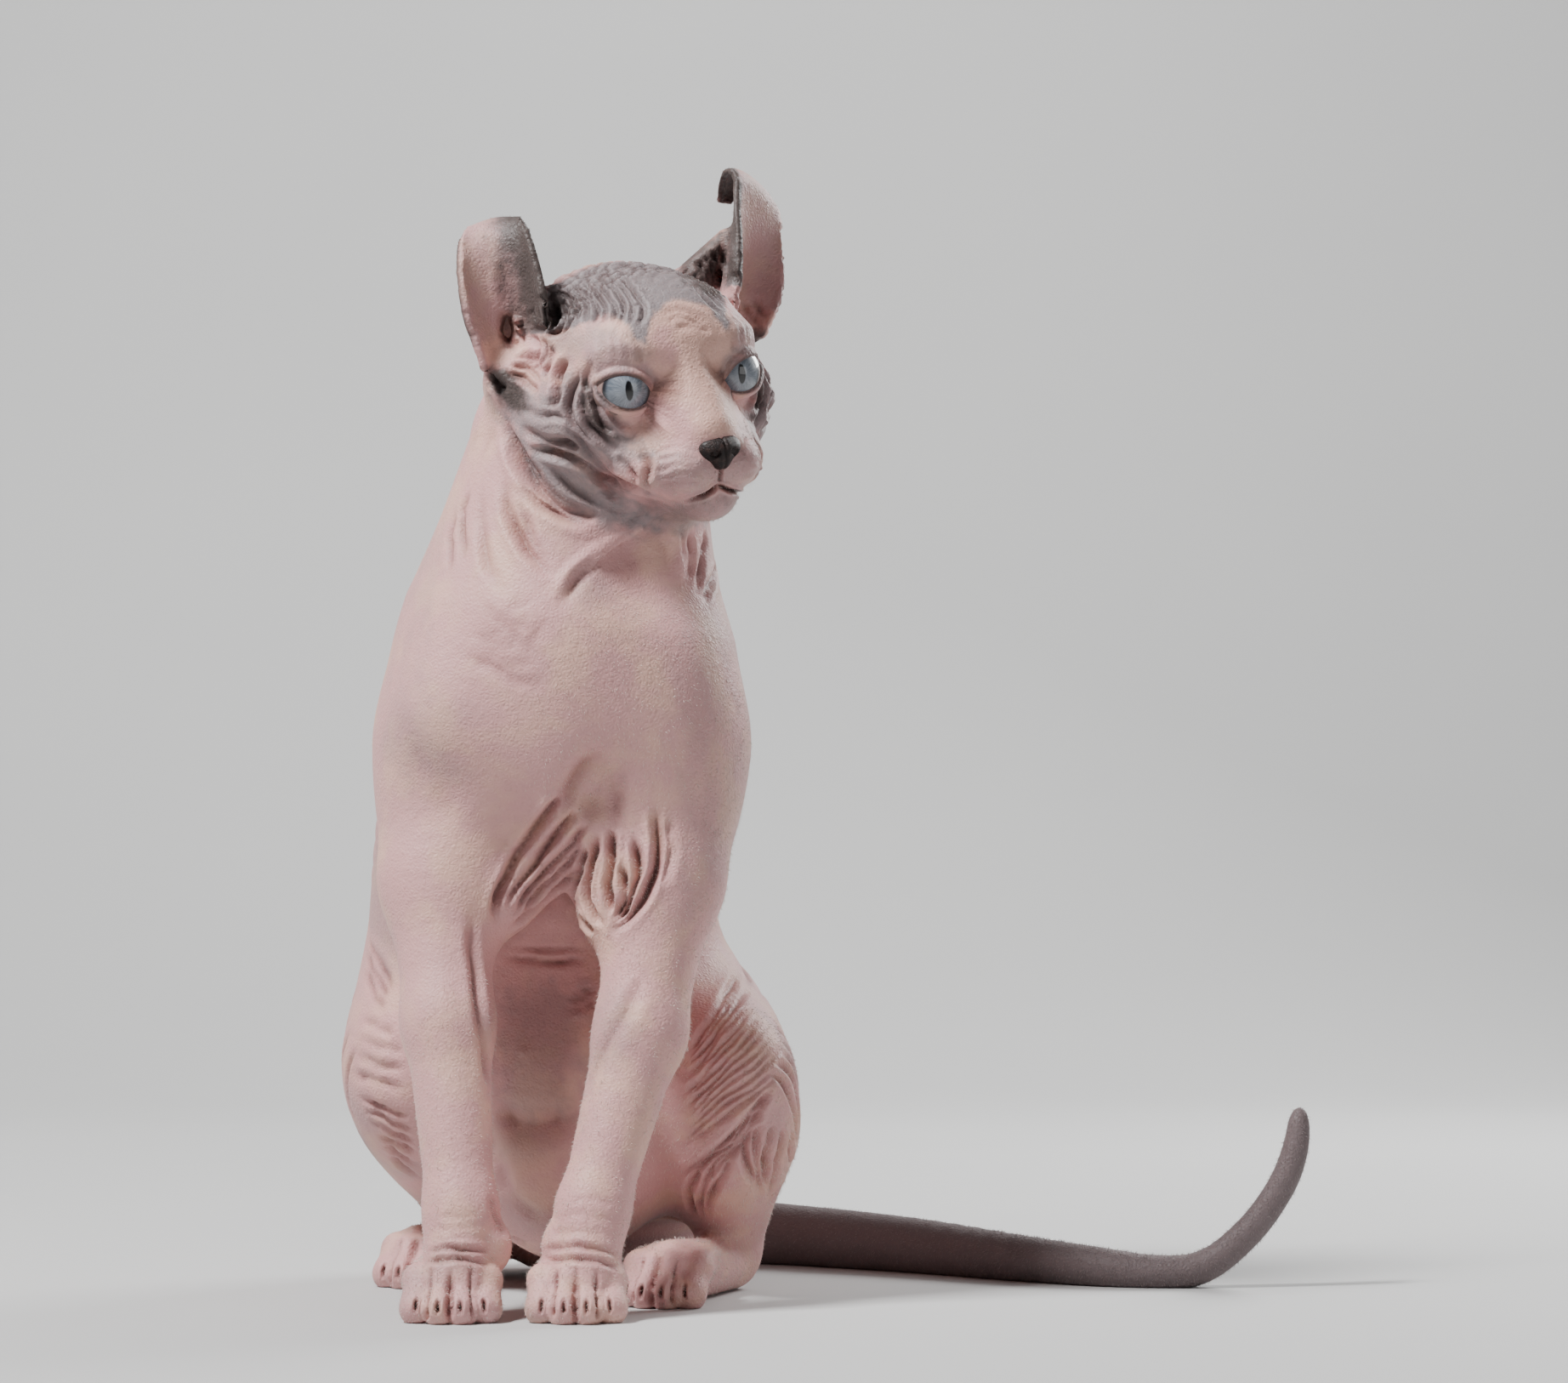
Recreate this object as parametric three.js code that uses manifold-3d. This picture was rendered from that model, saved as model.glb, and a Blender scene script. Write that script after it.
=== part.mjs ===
// A seated hairless cat with curled-back ears, as a still life-size model, in millimetres.
// +Z is up, -Y is where its chest faces and +X is its left side. The origin is on the floor, in the flat
// under its pelvis. The flesh is one blended form, divided by thin gaps where a person would name its parts.
import * as THREE from "three";
import { triTable } from "three/addons/objects/MarchingCubes.js";
import { mergeVertices } from "three/addons/utils/BufferGeometryUtils.js";
import Module from "manifold-3d";

const wasm = await Module();
wasm.setup();

const GAP = 0.3;
const DEGREE = Math.PI / 180;

// How fine each part's surface is: the size of the grid's cells.
const TORSO_CELL = 15;
const HAUNCH_CELL = 12.4;
const LEG_CELL = 10.5;
const PAW_CELL = 4.9;
const FOOT_CELL = 6.5;
const NOSE_CELL = 2.9;
const HEAD_CELL = 5.3;
const FACE_CELL = 4.05;
const NAPE_CELL = 9;
const EAR_ROWS = 13;
const EAR_COLUMNS = 8;

// Driving sizes of the trunk, from the floor up.
const PELVIS_AT = [2, 22, 60];
const PELVIS_RADII = [62, 54, 64];
const BELLY_AT = [-6, -58, 86];
const BELLY_RADII = [48, 48, 74];
const FLANK_AT = [-18, -14, 122];
const FLANK_RADII = [69, 58, 78];
const RIBS_AT = [-16, -46, 178];
const RIBS_RADII = [65, 62, 78];
const CHEST_AT = [-6, -94, 222];
const CHEST_RADII = [55, 54, 62];
const WITHERS_AT = [-6, -52, 246];
const WITHERS_RADII = [48, 38, 52];
const NECK_FOOT = [-6, -86, 262];
const NECK_TOP = [3, -88, 324];
const NECK_FOOT_RADIUS = 59;
const NECK_TOP_RADIUS = 46;

// The head's own frame: x to the cat's left, y to the back of the skull, z up.
const HEAD_AT = [22, -105, 350];
const HEAD_YAW = 31;
const HEAD_PITCH = 10;
const HEAD_ROLL = -10;
const EYE_RADIUS = 11.2;
const EYE_OFFSET = [23.8, -30.5, 4.3];
const EYE_OUTWARD = 17;
const LID_LENGTH = 20;
const LID_HEIGHT = 14;
const LID_TILT = 12;
const LID_RADIUS = 1.5;

// Each ear's sheet is bent to a cup across, and folds over to the back along its length. What runs along the
// length is told as a share of it: where the fold, the narrowing and the flattening of the cup begin or end.
const EAR_CUP_DEPTH = 14;
const EAR_CREST_RISE = 5;
const EAR_ROUNDNESS = 78 * DEGREE;
const EARS = {
  right: {
    side: -1, foot: [-42.6, 13, 12], length: 74, halfWidth: 15.4, pinch: 0.18,
    turn: -32, tip: 4, lean: -8, curl: 125, fold: [0.48, 1.04], narrow: [0.2, 1.7], flat: 0.72,
  },
  left: {
    side: 1, foot: [45.3, 13, 15], length: 82.5, halfWidth: 16.4, pinch: 0.3,
    turn: 24, tip: 0, lean: 33, curl: 165, fold: [0.62, 1], narrow: [0.4, 2.4], flat: 0.78,
  },
};

const PAW_HALF_WIDTH = 17.6;
const TOE_RADIUS = 5.6;
const FOOT_HALF_WIDTH = 16.8;
const FOOT_TOE_RADIUS = 5.8;

// Where the joints of the legs are. The pelvis is turned to the cat's right, so its right leg sits
// further back.
const FORELEGS = {
  right: {
    shoulder: [-47, -96, 210], elbow: [-51, -114, 160], forearm: [-48, -136, 108],
    wrist: [-41.5, -159, 40], paw: [-43.8, -172, 0], toeIn: 1,
  },
  left: {
    shoulder: [34, -96, 210], elbow: [31, -116, 160], forearm: [24.5, -137, 104],
    wrist: [7.5, -159, 40], paw: [2.1, -172, 0], toeIn: -1,
  },
};
const HINDLEGS = {
  right: {
    thigh: [-51, -6, 84], thighYaw: -28, knee: [-63, -50, 88], shin: [-59, -38, 64],
    hock: [-48, 22, 20], heel: [-46, 30, 10.5], ball: [-62, -26, 12], toeYaw: -16,
  },
  left: {
    thigh: [44, -30, 78], thighYaw: 14, knee: [57, -84, 78], shin: [60, -78, 58],
    hock: [57, -42, 20], heel: [57, -46, 10.5], ball: [36, -106, 12], toeYaw: -18,
  },
};
const THIGH_RADII = [36, 60, 50];
const KNEE_RADII = [24, 26, 32];

// The tail leaves the rump to the cat's left, lies on the floor and lifts its end.
const TAIL_ROUTE = [
  [16, 58, 20], [42, 72, 14], [72, 68, 12], [105, 47, 11.2], [138, 22, 10.1], [170, -8, 8.6],
  [200, -31, 7.1], [223, -39, 5.6], [243, -40, 8.2], [261, -40, 22.5], [273.5, -40, 40], [279, -40, 55],
  [280.5, -40, 68],
];
const TAIL_RADII = [15, 13, 12, 11.2, 10.2, 8.7, 7.2, 5.8, 5.1, 4.7, 4.3, 3.6, 2.4];

const SKIN = { pink: 0xd9b3a6, grey: 0x8f8583, dark: 0x2e2220, iris: 0x9db4c6 };

function turn(yaw = 0, pitch = 0, roll = 0) {
  return new THREE.Matrix4().makeRotationFromEuler(
    new THREE.Euler(pitch * DEGREE, roll * DEGREE, yaw * DEGREE, "ZXY"),
  );
}

const HEAD_FRAME = turn(HEAD_YAW, HEAD_PITCH, HEAD_ROLL).setPosition(...HEAD_AT);

// A rounded mass with three radii, in its own turned frame.
function ball(at, radii, blend, yaw = 0, pitch = 0, roll = 0) {
  const frame = turn(yaw, pitch, roll).setPosition(...at);
  return { kind: "ball", frame, radii, blend };
}

// A tapering limb between two points.
function limb(from, r0, to, r1, blend) {
  return { kind: "limb", from: new THREE.Vector3(...from), to: new THREE.Vector3(...to), r0, r1, blend };
}

function placed(mass, frame) {
  if (mass.kind === "ball") return { ...mass, frame: frame.clone().multiply(mass.frame) };
  return { ...mass, from: mass.from.clone().applyMatrix4(frame), to: mass.to.clone().applyMatrix4(frame) };
}

const local = new THREE.Vector3();
const axis = new THREE.Vector3();

function distance(mass, x, y, z) {
  local.set(x, y, z);
  if (mass.kind === "ball") {
    local.applyMatrix4(mass.inverse);
    const [a, b, c] = mass.radii;
    const k0 = Math.hypot(local.x / a, local.y / b, local.z / c);
    const k1 = Math.hypot(local.x / (a * a), local.y / (b * b), local.z / (c * c));
    return k1 < 1e-9 ? -Math.min(a, b, c) : (k0 * (k0 - 1)) / k1;
  }
  axis.subVectors(mass.to, mass.from);
  local.sub(mass.from);
  const t = THREE.MathUtils.clamp(local.dot(axis) / axis.lengthSq(), 0, 1);
  return local.addScaledVector(axis, -t).length() - THREE.MathUtils.lerp(mass.r0, mass.r1, t);
}

// The blended form of several masses: negative inside, and roughly the distance to the skin.
function form(masses) {
  for (const mass of masses) {
    if (mass.kind === "ball") mass.inverse = mass.frame.clone().invert();
  }
  return (x, y, z) => {
    let found = Infinity;
    for (const mass of masses) {
      const d = distance(mass, x, y, z);
      const near = Math.max(mass.blend - Math.abs(found - d), 0);
      const soft = found === Infinity ? 0 : (near * near) / (4 * mass.blend);
      found = Math.min(found, d) - soft;
    }
    return found;
  };
}

function trunkMasses() {
  return [
    ball(PELVIS_AT, PELVIS_RADII, 1, -20),
    ball(FLANK_AT, FLANK_RADII, 30),
    ball(BELLY_AT, BELLY_RADII, 22),
    ball(RIBS_AT, RIBS_RADII, 30),
    ball(CHEST_AT, CHEST_RADII, 30),
    ball(WITHERS_AT, WITHERS_RADII, 30, 0, -14),
    limb(NECK_FOOT, NECK_FOOT_RADIUS, NECK_TOP, NECK_TOP_RADIUS, 30),
  ];
}

// The four toes of a foot, from half its width, the height of its knuckles and the radius of a toe.
function toes(centre, yaw, spread, width, knuckle, radius) {
  const frame = turn(yaw).setPosition(...centre);
  const made = [];
  for (let i = 0; i < 4; i += 1) {
    const side = (i - 1.5) / 1.5;
    const back = 5.5 * side * side;
    const x = side * (width - radius);
    made.push(limb([x * 0.8, back + 12, knuckle + 2], radius + 0.6, [x, back - 3, knuckle], radius + 0.4, 3));
    made.push(limb([x, back - 3, knuckle], radius + 0.4, [x * spread, back - 12, radius - 0.6], radius, 1.6));
  }
  return made.map((mass) => placed(mass, frame));
}

function forelegMasses(leg) {
  const { shoulder, elbow, forearm, wrist, paw, toeIn } = leg;
  const knuckles = [(wrist[0] + paw[0]) / 2, paw[1] + 2, 14];
  return [
    ball(shoulder, [24, 38, 46], 26, 0, 10),
    limb(shoulder, 24, elbow, 21.5, 22),
    limb(elbow, 21, forearm, 15.6, 14),
    limb(forearm, 15.6, wrist, 12.3, 10),
    limb(wrist, 12.6, knuckles, 12.5, 8),
    ball([wrist[0] + toeIn * 13, wrist[1] - 2, 26], [6, 8, 9], 5),
    ...toes([paw[0], paw[1], 0], 0, 1.03, PAW_HALF_WIDTH, 14.5, TOE_RADIUS),
  ];
}

function hindlegMasses(leg) {
  const { thigh, thighYaw, knee, shin, hock, heel, ball: pad, toeYaw } = leg;
  const frame = turn(toeYaw).setPosition(...pad);
  const front = new THREE.Vector3(0, -8, -12).applyMatrix4(frame).toArray();
  return [
    ball(thigh, THIGH_RADII, 24, thighYaw),
    ball(knee, KNEE_RADII, 22),
    limb(shin, 20, hock, 13, 14),
    limb(heel, 10.5, pad, 12, 8),
    ...toes(front, toeYaw, 1.04, FOOT_HALF_WIDTH, 14, FOOT_TOE_RADIUS),
  ];
}

function headMasses() {
  const made = [
    ball([0, 12, 10], [41, 44, 35], 1),
    ball([0, -16, 16], [35, 27, 25], 16),
    limb([0, -4, -8], 34, [0, -36, -19], 20, 18),
    limb([0, -30, 5], 13.5, [0, -52, -12], 8.4, 12),
    ball([0, -45, -38], [12, 13, 9], 9),
    limb([0, -40, -35], 11, [0, 0, -28], 24, 14),
  ];
  for (const side of [-1, 1]) {
    made.push(ball([side * 32, -12, -8], [16, 22, 17], 12));
    made.push(ball([side * 28, 2, -22], [20, 24, 19], 12));
    made.push(ball([side * 21, -29, 15], [14, 10, 8], 8));
    made.push(ball([side * 44, 14, 5], [13, 12, 12], 10));
    made.push(ball([side * 17, -37, -27], [12, 15, 10.5], 8));
    made.push(ball([side * 9.5, -50, -25.5], [11, 11.5, 9.5], 5));
  }
  return made;
}

const HEAD_MASSES = headMasses().map((mass) => placed(mass, HEAD_FRAME));
const flesh = form([
  ...trunkMasses(),
  ...hindlegMasses(HINDLEGS.right),
  ...hindlegMasses(HINDLEGS.left),
  ...forelegMasses(FORELEGS.right),
  ...forelegMasses(FORELEGS.left),
  { ...HEAD_MASSES[0], blend: 16 },
  ...HEAD_MASSES.slice(1),
]);

// The corners and edges of a grid cell, in the order that the table of triangles counts them.
const CORNERS = [
  [0, 0, 0], [1, 0, 0], [1, 1, 0], [0, 1, 0],
  [0, 0, 1], [1, 0, 1], [1, 1, 1], [0, 1, 1],
];
const EDGES = [
  [0, 1], [1, 2], [2, 3], [3, 0], [4, 5], [5, 6],
  [6, 7], [7, 4], [0, 4], [1, 5], [2, 6], [3, 7],
];

// The grid lines of a span, from cells of one size at its start to another size at its end.
function ruled(from, to, first, last = first) {
  const lines = [from];
  while (lines.at(-1) < to) {
    const t = (lines.at(-1) - from) / (to - from);
    lines.push(lines.at(-1) + THREE.MathUtils.lerp(first, last, t));
  }
  return lines;
}

function evenGrid(box, cell) {
  const lines = ["x", "y", "z"].map((a) => ruled(box.min[a], box.max[a], cell));
  return { lines, frame: new THREE.Matrix4(), cell };
}

// The surface where a field is nil, as a closed mesh of even triangles on a grid.
function surfaceOf(field, { lines, frame, cell }, relaxing = 3) {
  const n = lines.map((line) => line.length);
  const at = (i, j, k) => new THREE.Vector3(lines[0][i], lines[1][j], lines[2][k]).applyMatrix4(frame);
  const index = (i, j, k) => (k * n[1] + j) * n[0] + i;
  const values = new Float32Array(n[0] * n[1] * n[2]);
  for (let k = 0; k < n[2]; k += 1) {
    for (let j = 0; j < n[1]; j += 1) {
      for (let i = 0; i < n[0]; i += 1) {
        const edge = i === 0 || j === 0 || k === 0 || i === n[0] - 1 || j === n[1] - 1 || k === n[2] - 1;
        const p = at(i, j, k);
        const value = edge ? cell : field(p.x, p.y, p.z);
        values[index(i, j, k)] = Math.abs(value) < 0.02 * cell ? 0.02 * cell : value;
      }
    }
  }
  const vertices = [];
  const faces = [];
  const known = new Map();
  const crossing = (a, b) => {
    const key = `${Math.min(index(...a), index(...b))}_${Math.max(index(...a), index(...b))}`;
    if (!known.has(key)) {
      const va = values[index(...a)];
      const vb = values[index(...b)];
      const t = THREE.MathUtils.clamp(va / (va - vb), 0.08, 0.92);
      known.set(key, vertices.length);
      vertices.push(at(...a).lerp(at(...b), t));
    }
    return known.get(key);
  };
  for (let k = 0; k < n[2] - 1; k += 1) {
    for (let j = 0; j < n[1] - 1; j += 1) {
      for (let i = 0; i < n[0] - 1; i += 1) {
        const corner = CORNERS.map(([a, b, c]) => [i + a, j + b, k + c]);
        let mask = 0;
        corner.forEach((c, bit) => {
          if (values[index(...c)] < 0) mask |= 1 << bit;
        });
        for (let t = mask * 16; triTable[t] !== -1; t += 3) {
          const face = [0, 1, 2].map((s) => {
            const [a, b] = EDGES[triTable[t + s]];
            return crossing(corner[a], corner[b]);
          });
          faces.push(face);
        }
      }
    }
  }
  relax(vertices, faces, field, cell, relaxing);
  return geometryOf(vertices, faces);
}

const PROBE = 0.05;

function slope(field, p) {
  return new THREE.Vector3(
    field(p.x + PROBE, p.y, p.z) - field(p.x - PROBE, p.y, p.z),
    field(p.x, p.y + PROBE, p.z) - field(p.x, p.y - PROBE, p.z),
    field(p.x, p.y, p.z + PROBE) - field(p.x, p.y, p.z - PROBE),
  ).divideScalar(2 * PROBE);
}

// Moves a point to the surface by the field's slope, by no more than a part of a cell.
function settle(field, p, most) {
  for (let step = 0; step < 2; step += 1) {
    const g = slope(field, p);
    const steep = Math.max(g.lengthSq(), 0.05);
    const move = THREE.MathUtils.clamp(-field(p.x, p.y, p.z) / Math.sqrt(steep), -most, most);
    p.addScaledVector(g.normalize(), move);
  }
}

// Evens out the triangles along the surface, and keeps each point on it.
function relax(vertices, faces, field, cell, rounds) {
  const around = vertices.map(() => new Set());
  for (const [a, b, c] of faces) {
    around[a].add(b).add(c);
    around[b].add(a).add(c);
    around[c].add(a).add(b);
  }
  for (let round = 0; round < rounds; round += 1) {
    const moved = vertices.map((v, i) => {
      const mean = new THREE.Vector3();
      for (const j of around[i]) mean.add(vertices[j]);
      return v.clone().lerp(mean.divideScalar(around[i].size), 0.6);
    });
    moved.forEach((p, i) => {
      settle(field, p, 0.4 * cell);
      vertices[i].copy(p);
    });
  }
}

function geometryOf(vertices, faces) {
  const made = new THREE.BufferGeometry();
  made.setAttribute("position", new THREE.Float32BufferAttribute(vertices.flatMap((v) => v.toArray()), 3));
  made.setIndex(faces.flat());
  return made;
}

function solidOf(geometry) {
  const bare = geometry.clone();
  bare.deleteAttribute("normal");
  bare.deleteAttribute("uv");
  const merged = mergeVertices(bare, 1e-4);
  const mesh = new wasm.Mesh({
    numProp: 3,
    vertProperties: new Float32Array(merged.attributes.position.array),
    triVerts: new Uint32Array(merged.index.array),
  });
  const made = new wasm.Manifold(mesh);
  if (made.volume() > 0) return made;
  for (let i = 0; i < mesh.triVerts.length; i += 3) {
    [mesh.triVerts[i + 1], mesh.triVerts[i + 2]] = [mesh.triVerts[i + 2], mesh.triVerts[i + 1]];
  }
  return new wasm.Manifold(mesh);
}

function geometryFrom(solid) {
  const mesh = solid.getMesh();
  const made = new THREE.BufferGeometry();
  made.setAttribute("position", new THREE.BufferAttribute(new Float32Array(mesh.vertProperties), 3));
  made.setIndex(new THREE.BufferAttribute(new Uint32Array(mesh.triVerts), 1));
  return made;
}

// The same surface moved out by a small distance, for cutting what meets it with a gap.
function grown(solid, by) {
  const geometry = geometryFrom(solid);
  geometry.computeVertexNormals();
  const { position, normal } = geometry.attributes;
  for (let i = 0; i < position.count; i += 1) {
    position.setXYZ(
      i,
      position.getX(i) + by * normal.getX(i),
      position.getY(i) + by * normal.getY(i),
      position.getZ(i) + by * normal.getZ(i),
    );
  }
  return solidOf(geometry);
}

function largest(solid) {
  return solid.decompose().sort((a, b) => b.volume() - a.volume())[0];
}

// A region of space: a box from its centre, size and turn. Grown by the gap, it clears room beside the part
// in it.
function region(at, size, yaw = 0, pitch = 0, roll = 0, frame = new THREE.Matrix4()) {
  const matrix = frame.clone().multiply(turn(yaw, pitch, roll).setPosition(...at));
  const solid = (extra) =>
    solidOf(new THREE.BoxGeometry(size[0] + extra, size[1] + extra, size[2] + extra).applyMatrix4(matrix));
  const bounds = new THREE.Box3();
  for (const [a, b, c] of CORNERS) {
    bounds.expandByPoint(
      new THREE.Vector3((a - 0.5) * size[0], (b - 0.5) * size[1], (c - 0.5) * size[2]).applyMatrix4(matrix),
    );
  }
  return { inside: solid(0), cleared: solid(2 * GAP), bounds };
}

// One part of the flesh: its skin inside a region, less the regions of the parts beside it.
function piece(place, cell, others = []) {
  const skin = solidOf(surfaceOf(flesh, evenGrid(place.bounds.clone().expandByScalar(1.6 * cell), cell)));
  let solid = skin.intersect(place.inside);
  for (const other of others) solid = solid.subtract(other.cleared);
  return largest(solid);
}

// A region round a stretch of a leg, square to the line between two of its joints.
function legRegion(from, to, width, depth) {
  const a = new THREE.Vector3(...from);
  const b = new THREE.Vector3(...to);
  const along = a.clone().sub(b);
  const middle = a.clone().add(b).multiplyScalar(0.5).toArray();
  const pitch = Math.asin(-along.y / along.length()) / DEGREE;
  const roll = Math.atan2(along.x, along.z) / DEGREE;
  return region(middle, [width, depth, along.length()], 0, pitch, roll);
}

// A closed tube of changing radius through a line of points.
function tube(points, radii, sides, steps) {
  const curve = new THREE.CatmullRomCurve3(points.map((p) => new THREE.Vector3(...p)), false, "centripetal");
  const frames = curve.computeFrenetFrames(steps, false);
  const vertices = [];
  const faces = [];
  for (let i = 0; i <= steps; i += 1) {
    const u = i / steps;
    const t = curve.getUtoTmapping(u);
    const place = t * (radii.length - 1);
    const low = Math.min(Math.floor(place), radii.length - 2);
    const radius = THREE.MathUtils.lerp(radii[low], radii[low + 1], place - low);
    const centre = curve.getPoint(t);
    for (let s = 0; s < sides; s += 1) {
      const angle = (2 * Math.PI * s) / sides;
      vertices.push(
        centre
          .clone()
          .addScaledVector(frames.normals[i], radius * Math.cos(angle))
          .addScaledVector(frames.binormals[i], radius * Math.sin(angle)),
      );
      if (i < steps) {
        const next = (s + 1) % sides;
        const row = i * sides;
        faces.push([row + s, row + next, row + sides + s], [row + next, row + sides + next, row + sides + s]);
      }
    }
  }
  const first = vertices.push(curve.getPoint(0)) - 1;
  const tip = curve.getPoint(1).addScaledVector(frames.tangents[steps], 0.6 * radii.at(-1));
  const last = vertices.push(tip) - 1;
  for (let s = 0; s < sides; s += 1) {
    const next = (s + 1) % sides;
    faces.push([first, next, s], [last, steps * sides + s, steps * sides + next]);
  }
  return solidOf(geometryOf(vertices, faces));
}

// A closed ring of round section along a closed line of points.
function hoop(points, radius, sides) {
  const curve = new THREE.CatmullRomCurve3(points, true, "centripetal");
  const steps = 26;
  const frames = curve.computeFrenetFrames(steps, true);
  const vertices = [];
  const faces = [];
  for (let i = 0; i < steps; i += 1) {
    const centre = curve.getPointAt(i / steps);
    for (let s = 0; s < sides; s += 1) {
      const angle = (2 * Math.PI * s) / sides;
      vertices.push(
        centre
          .clone()
          .addScaledVector(frames.normals[i], radius * Math.cos(angle))
          .addScaledVector(frames.binormals[i], radius * Math.sin(angle)),
      );
      const [row, after, next] = [i * sides, ((i + 1) % steps) * sides, (s + 1) % sides];
      faces.push([row + s, row + next, after + s], [row + next, after + next, after + s]);
    }
  }
  return solidOf(geometryOf(vertices, faces));
}

function eyeFrame(side) {
  const [x, y, z] = EYE_OFFSET;
  const frame = turn(side * EYE_OUTWARD).setPosition(side * x, y, z);
  return HEAD_FRAME.clone().multiply(frame);
}

// The lids' opening as seen along the gaze: a lemon shape with its inner corner lower.
function lidOutline(side, count) {
  const tilt = side * LID_TILT * DEGREE;
  return Array.from({ length: count }, (_, i) => {
    const angle = (2 * Math.PI * i) / count;
    const x = (LID_LENGTH / 2) * Math.cos(angle);
    const z = (LID_HEIGHT / 2) * Math.sin(angle) * (1 - 0.12 * Math.abs(Math.cos(angle)));
    return [x * Math.cos(tilt) - z * Math.sin(tilt), x * Math.sin(tilt) + z * Math.cos(tilt)];
  });
}

function lidRing(side) {
  const reach = EYE_RADIUS + 0.9;
  const points = lidOutline(side, 16).map(([x, z]) => {
    const y = -Math.sqrt(Math.max(reach * reach - x * x - z * z, 4));
    return new THREE.Vector3(x, y, z).applyMatrix4(eyeFrame(side));
  });
  return hoop(points, LID_RADIUS, 6);
}

function lidOpening(side) {
  const shape = new THREE.Shape(lidOutline(side, 20).map(([x, z]) => new THREE.Vector2(x, z)));
  const prism = new THREE.ExtrudeGeometry(shape, { depth: 40, bevelEnabled: false });
  prism.rotateX(Math.PI / 2);
  return solidOf(prism.applyMatrix4(eyeFrame(side)));
}

function eyeball(side, radius) {
  return solidOf(new THREE.IcosahedronGeometry(radius, 3).applyMatrix4(eyeFrame(side)));
}

// The nose pad: a rounded wedge with two nostrils that open forwards and out.
function noseSolid() {
  const pad = form([
    ball([0, -58.5, -17.8], [6.6, 5.2, 3.6], 1),
    ball([0, -58.5, -21], [3.8, 4.8, 4.2], 4),
    ball([-4.6, -56.7, -18.9], [3.7, 4.4, 3.4], 3),
    ball([4.6, -56.7, -18.9], [3.7, 4.4, 3.4], 3),
  ].map((mass) => placed(mass, HEAD_FRAME)));
  const centre = new THREE.Vector3(0, -58, -19).applyMatrix4(HEAD_FRAME);
  const box = new THREE.Box3().setFromCenterAndSize(centre, new THREE.Vector3(34, 34, 34));
  return solidOf(surfaceOf(pad, evenGrid(box, NOSE_CELL)));
}

function nostril(side) {
  const route = [[3.2, -72, -19], [3.6, -62, -19.5], [5.2, -59.5, -19.2], [9.5, -57.5, -18.2]];
  const points = route.map(([x, y, z]) =>
    new THREE.Vector3(side * x, y, z).applyMatrix4(HEAD_FRAME).toArray(),
  );
  return tube(points, [1.2, 1.2, 1.1, 0.7], 7, 10);
}

// The line of the mouth: a groove from under the nose down, and back along each lip.
function mouthGroove() {
  const onSkin = ([x, y, z]) => {
    const p = new THREE.Vector3(x, y, z).applyMatrix4(HEAD_FRAME);
    for (let i = 0; i < 6; i += 1) settle(flesh, p, 4);
    return p.toArray();
  };
  const middle = [[0, -64, -25], [0, -62, -29], [0, -60, -32]].map(onSkin);
  let groove = tube(middle, [0.9, 0.9, 0.9], 6, 6);
  for (const side of [-1, 1]) {
    const lip = [[0, -62, -31.6], [5, -60, -35], [12, -55, -37.5], [19, -46, -37.5], [25, -36, -36]];
    const route = lip.map(([x, y, z]) => onSkin([side * x, y, z]));
    groove = groove.add(tube(route, [1.1, 1.1, 1, 0.8, 0.5], 6, 11));
  }
  return groove;
}

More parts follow.
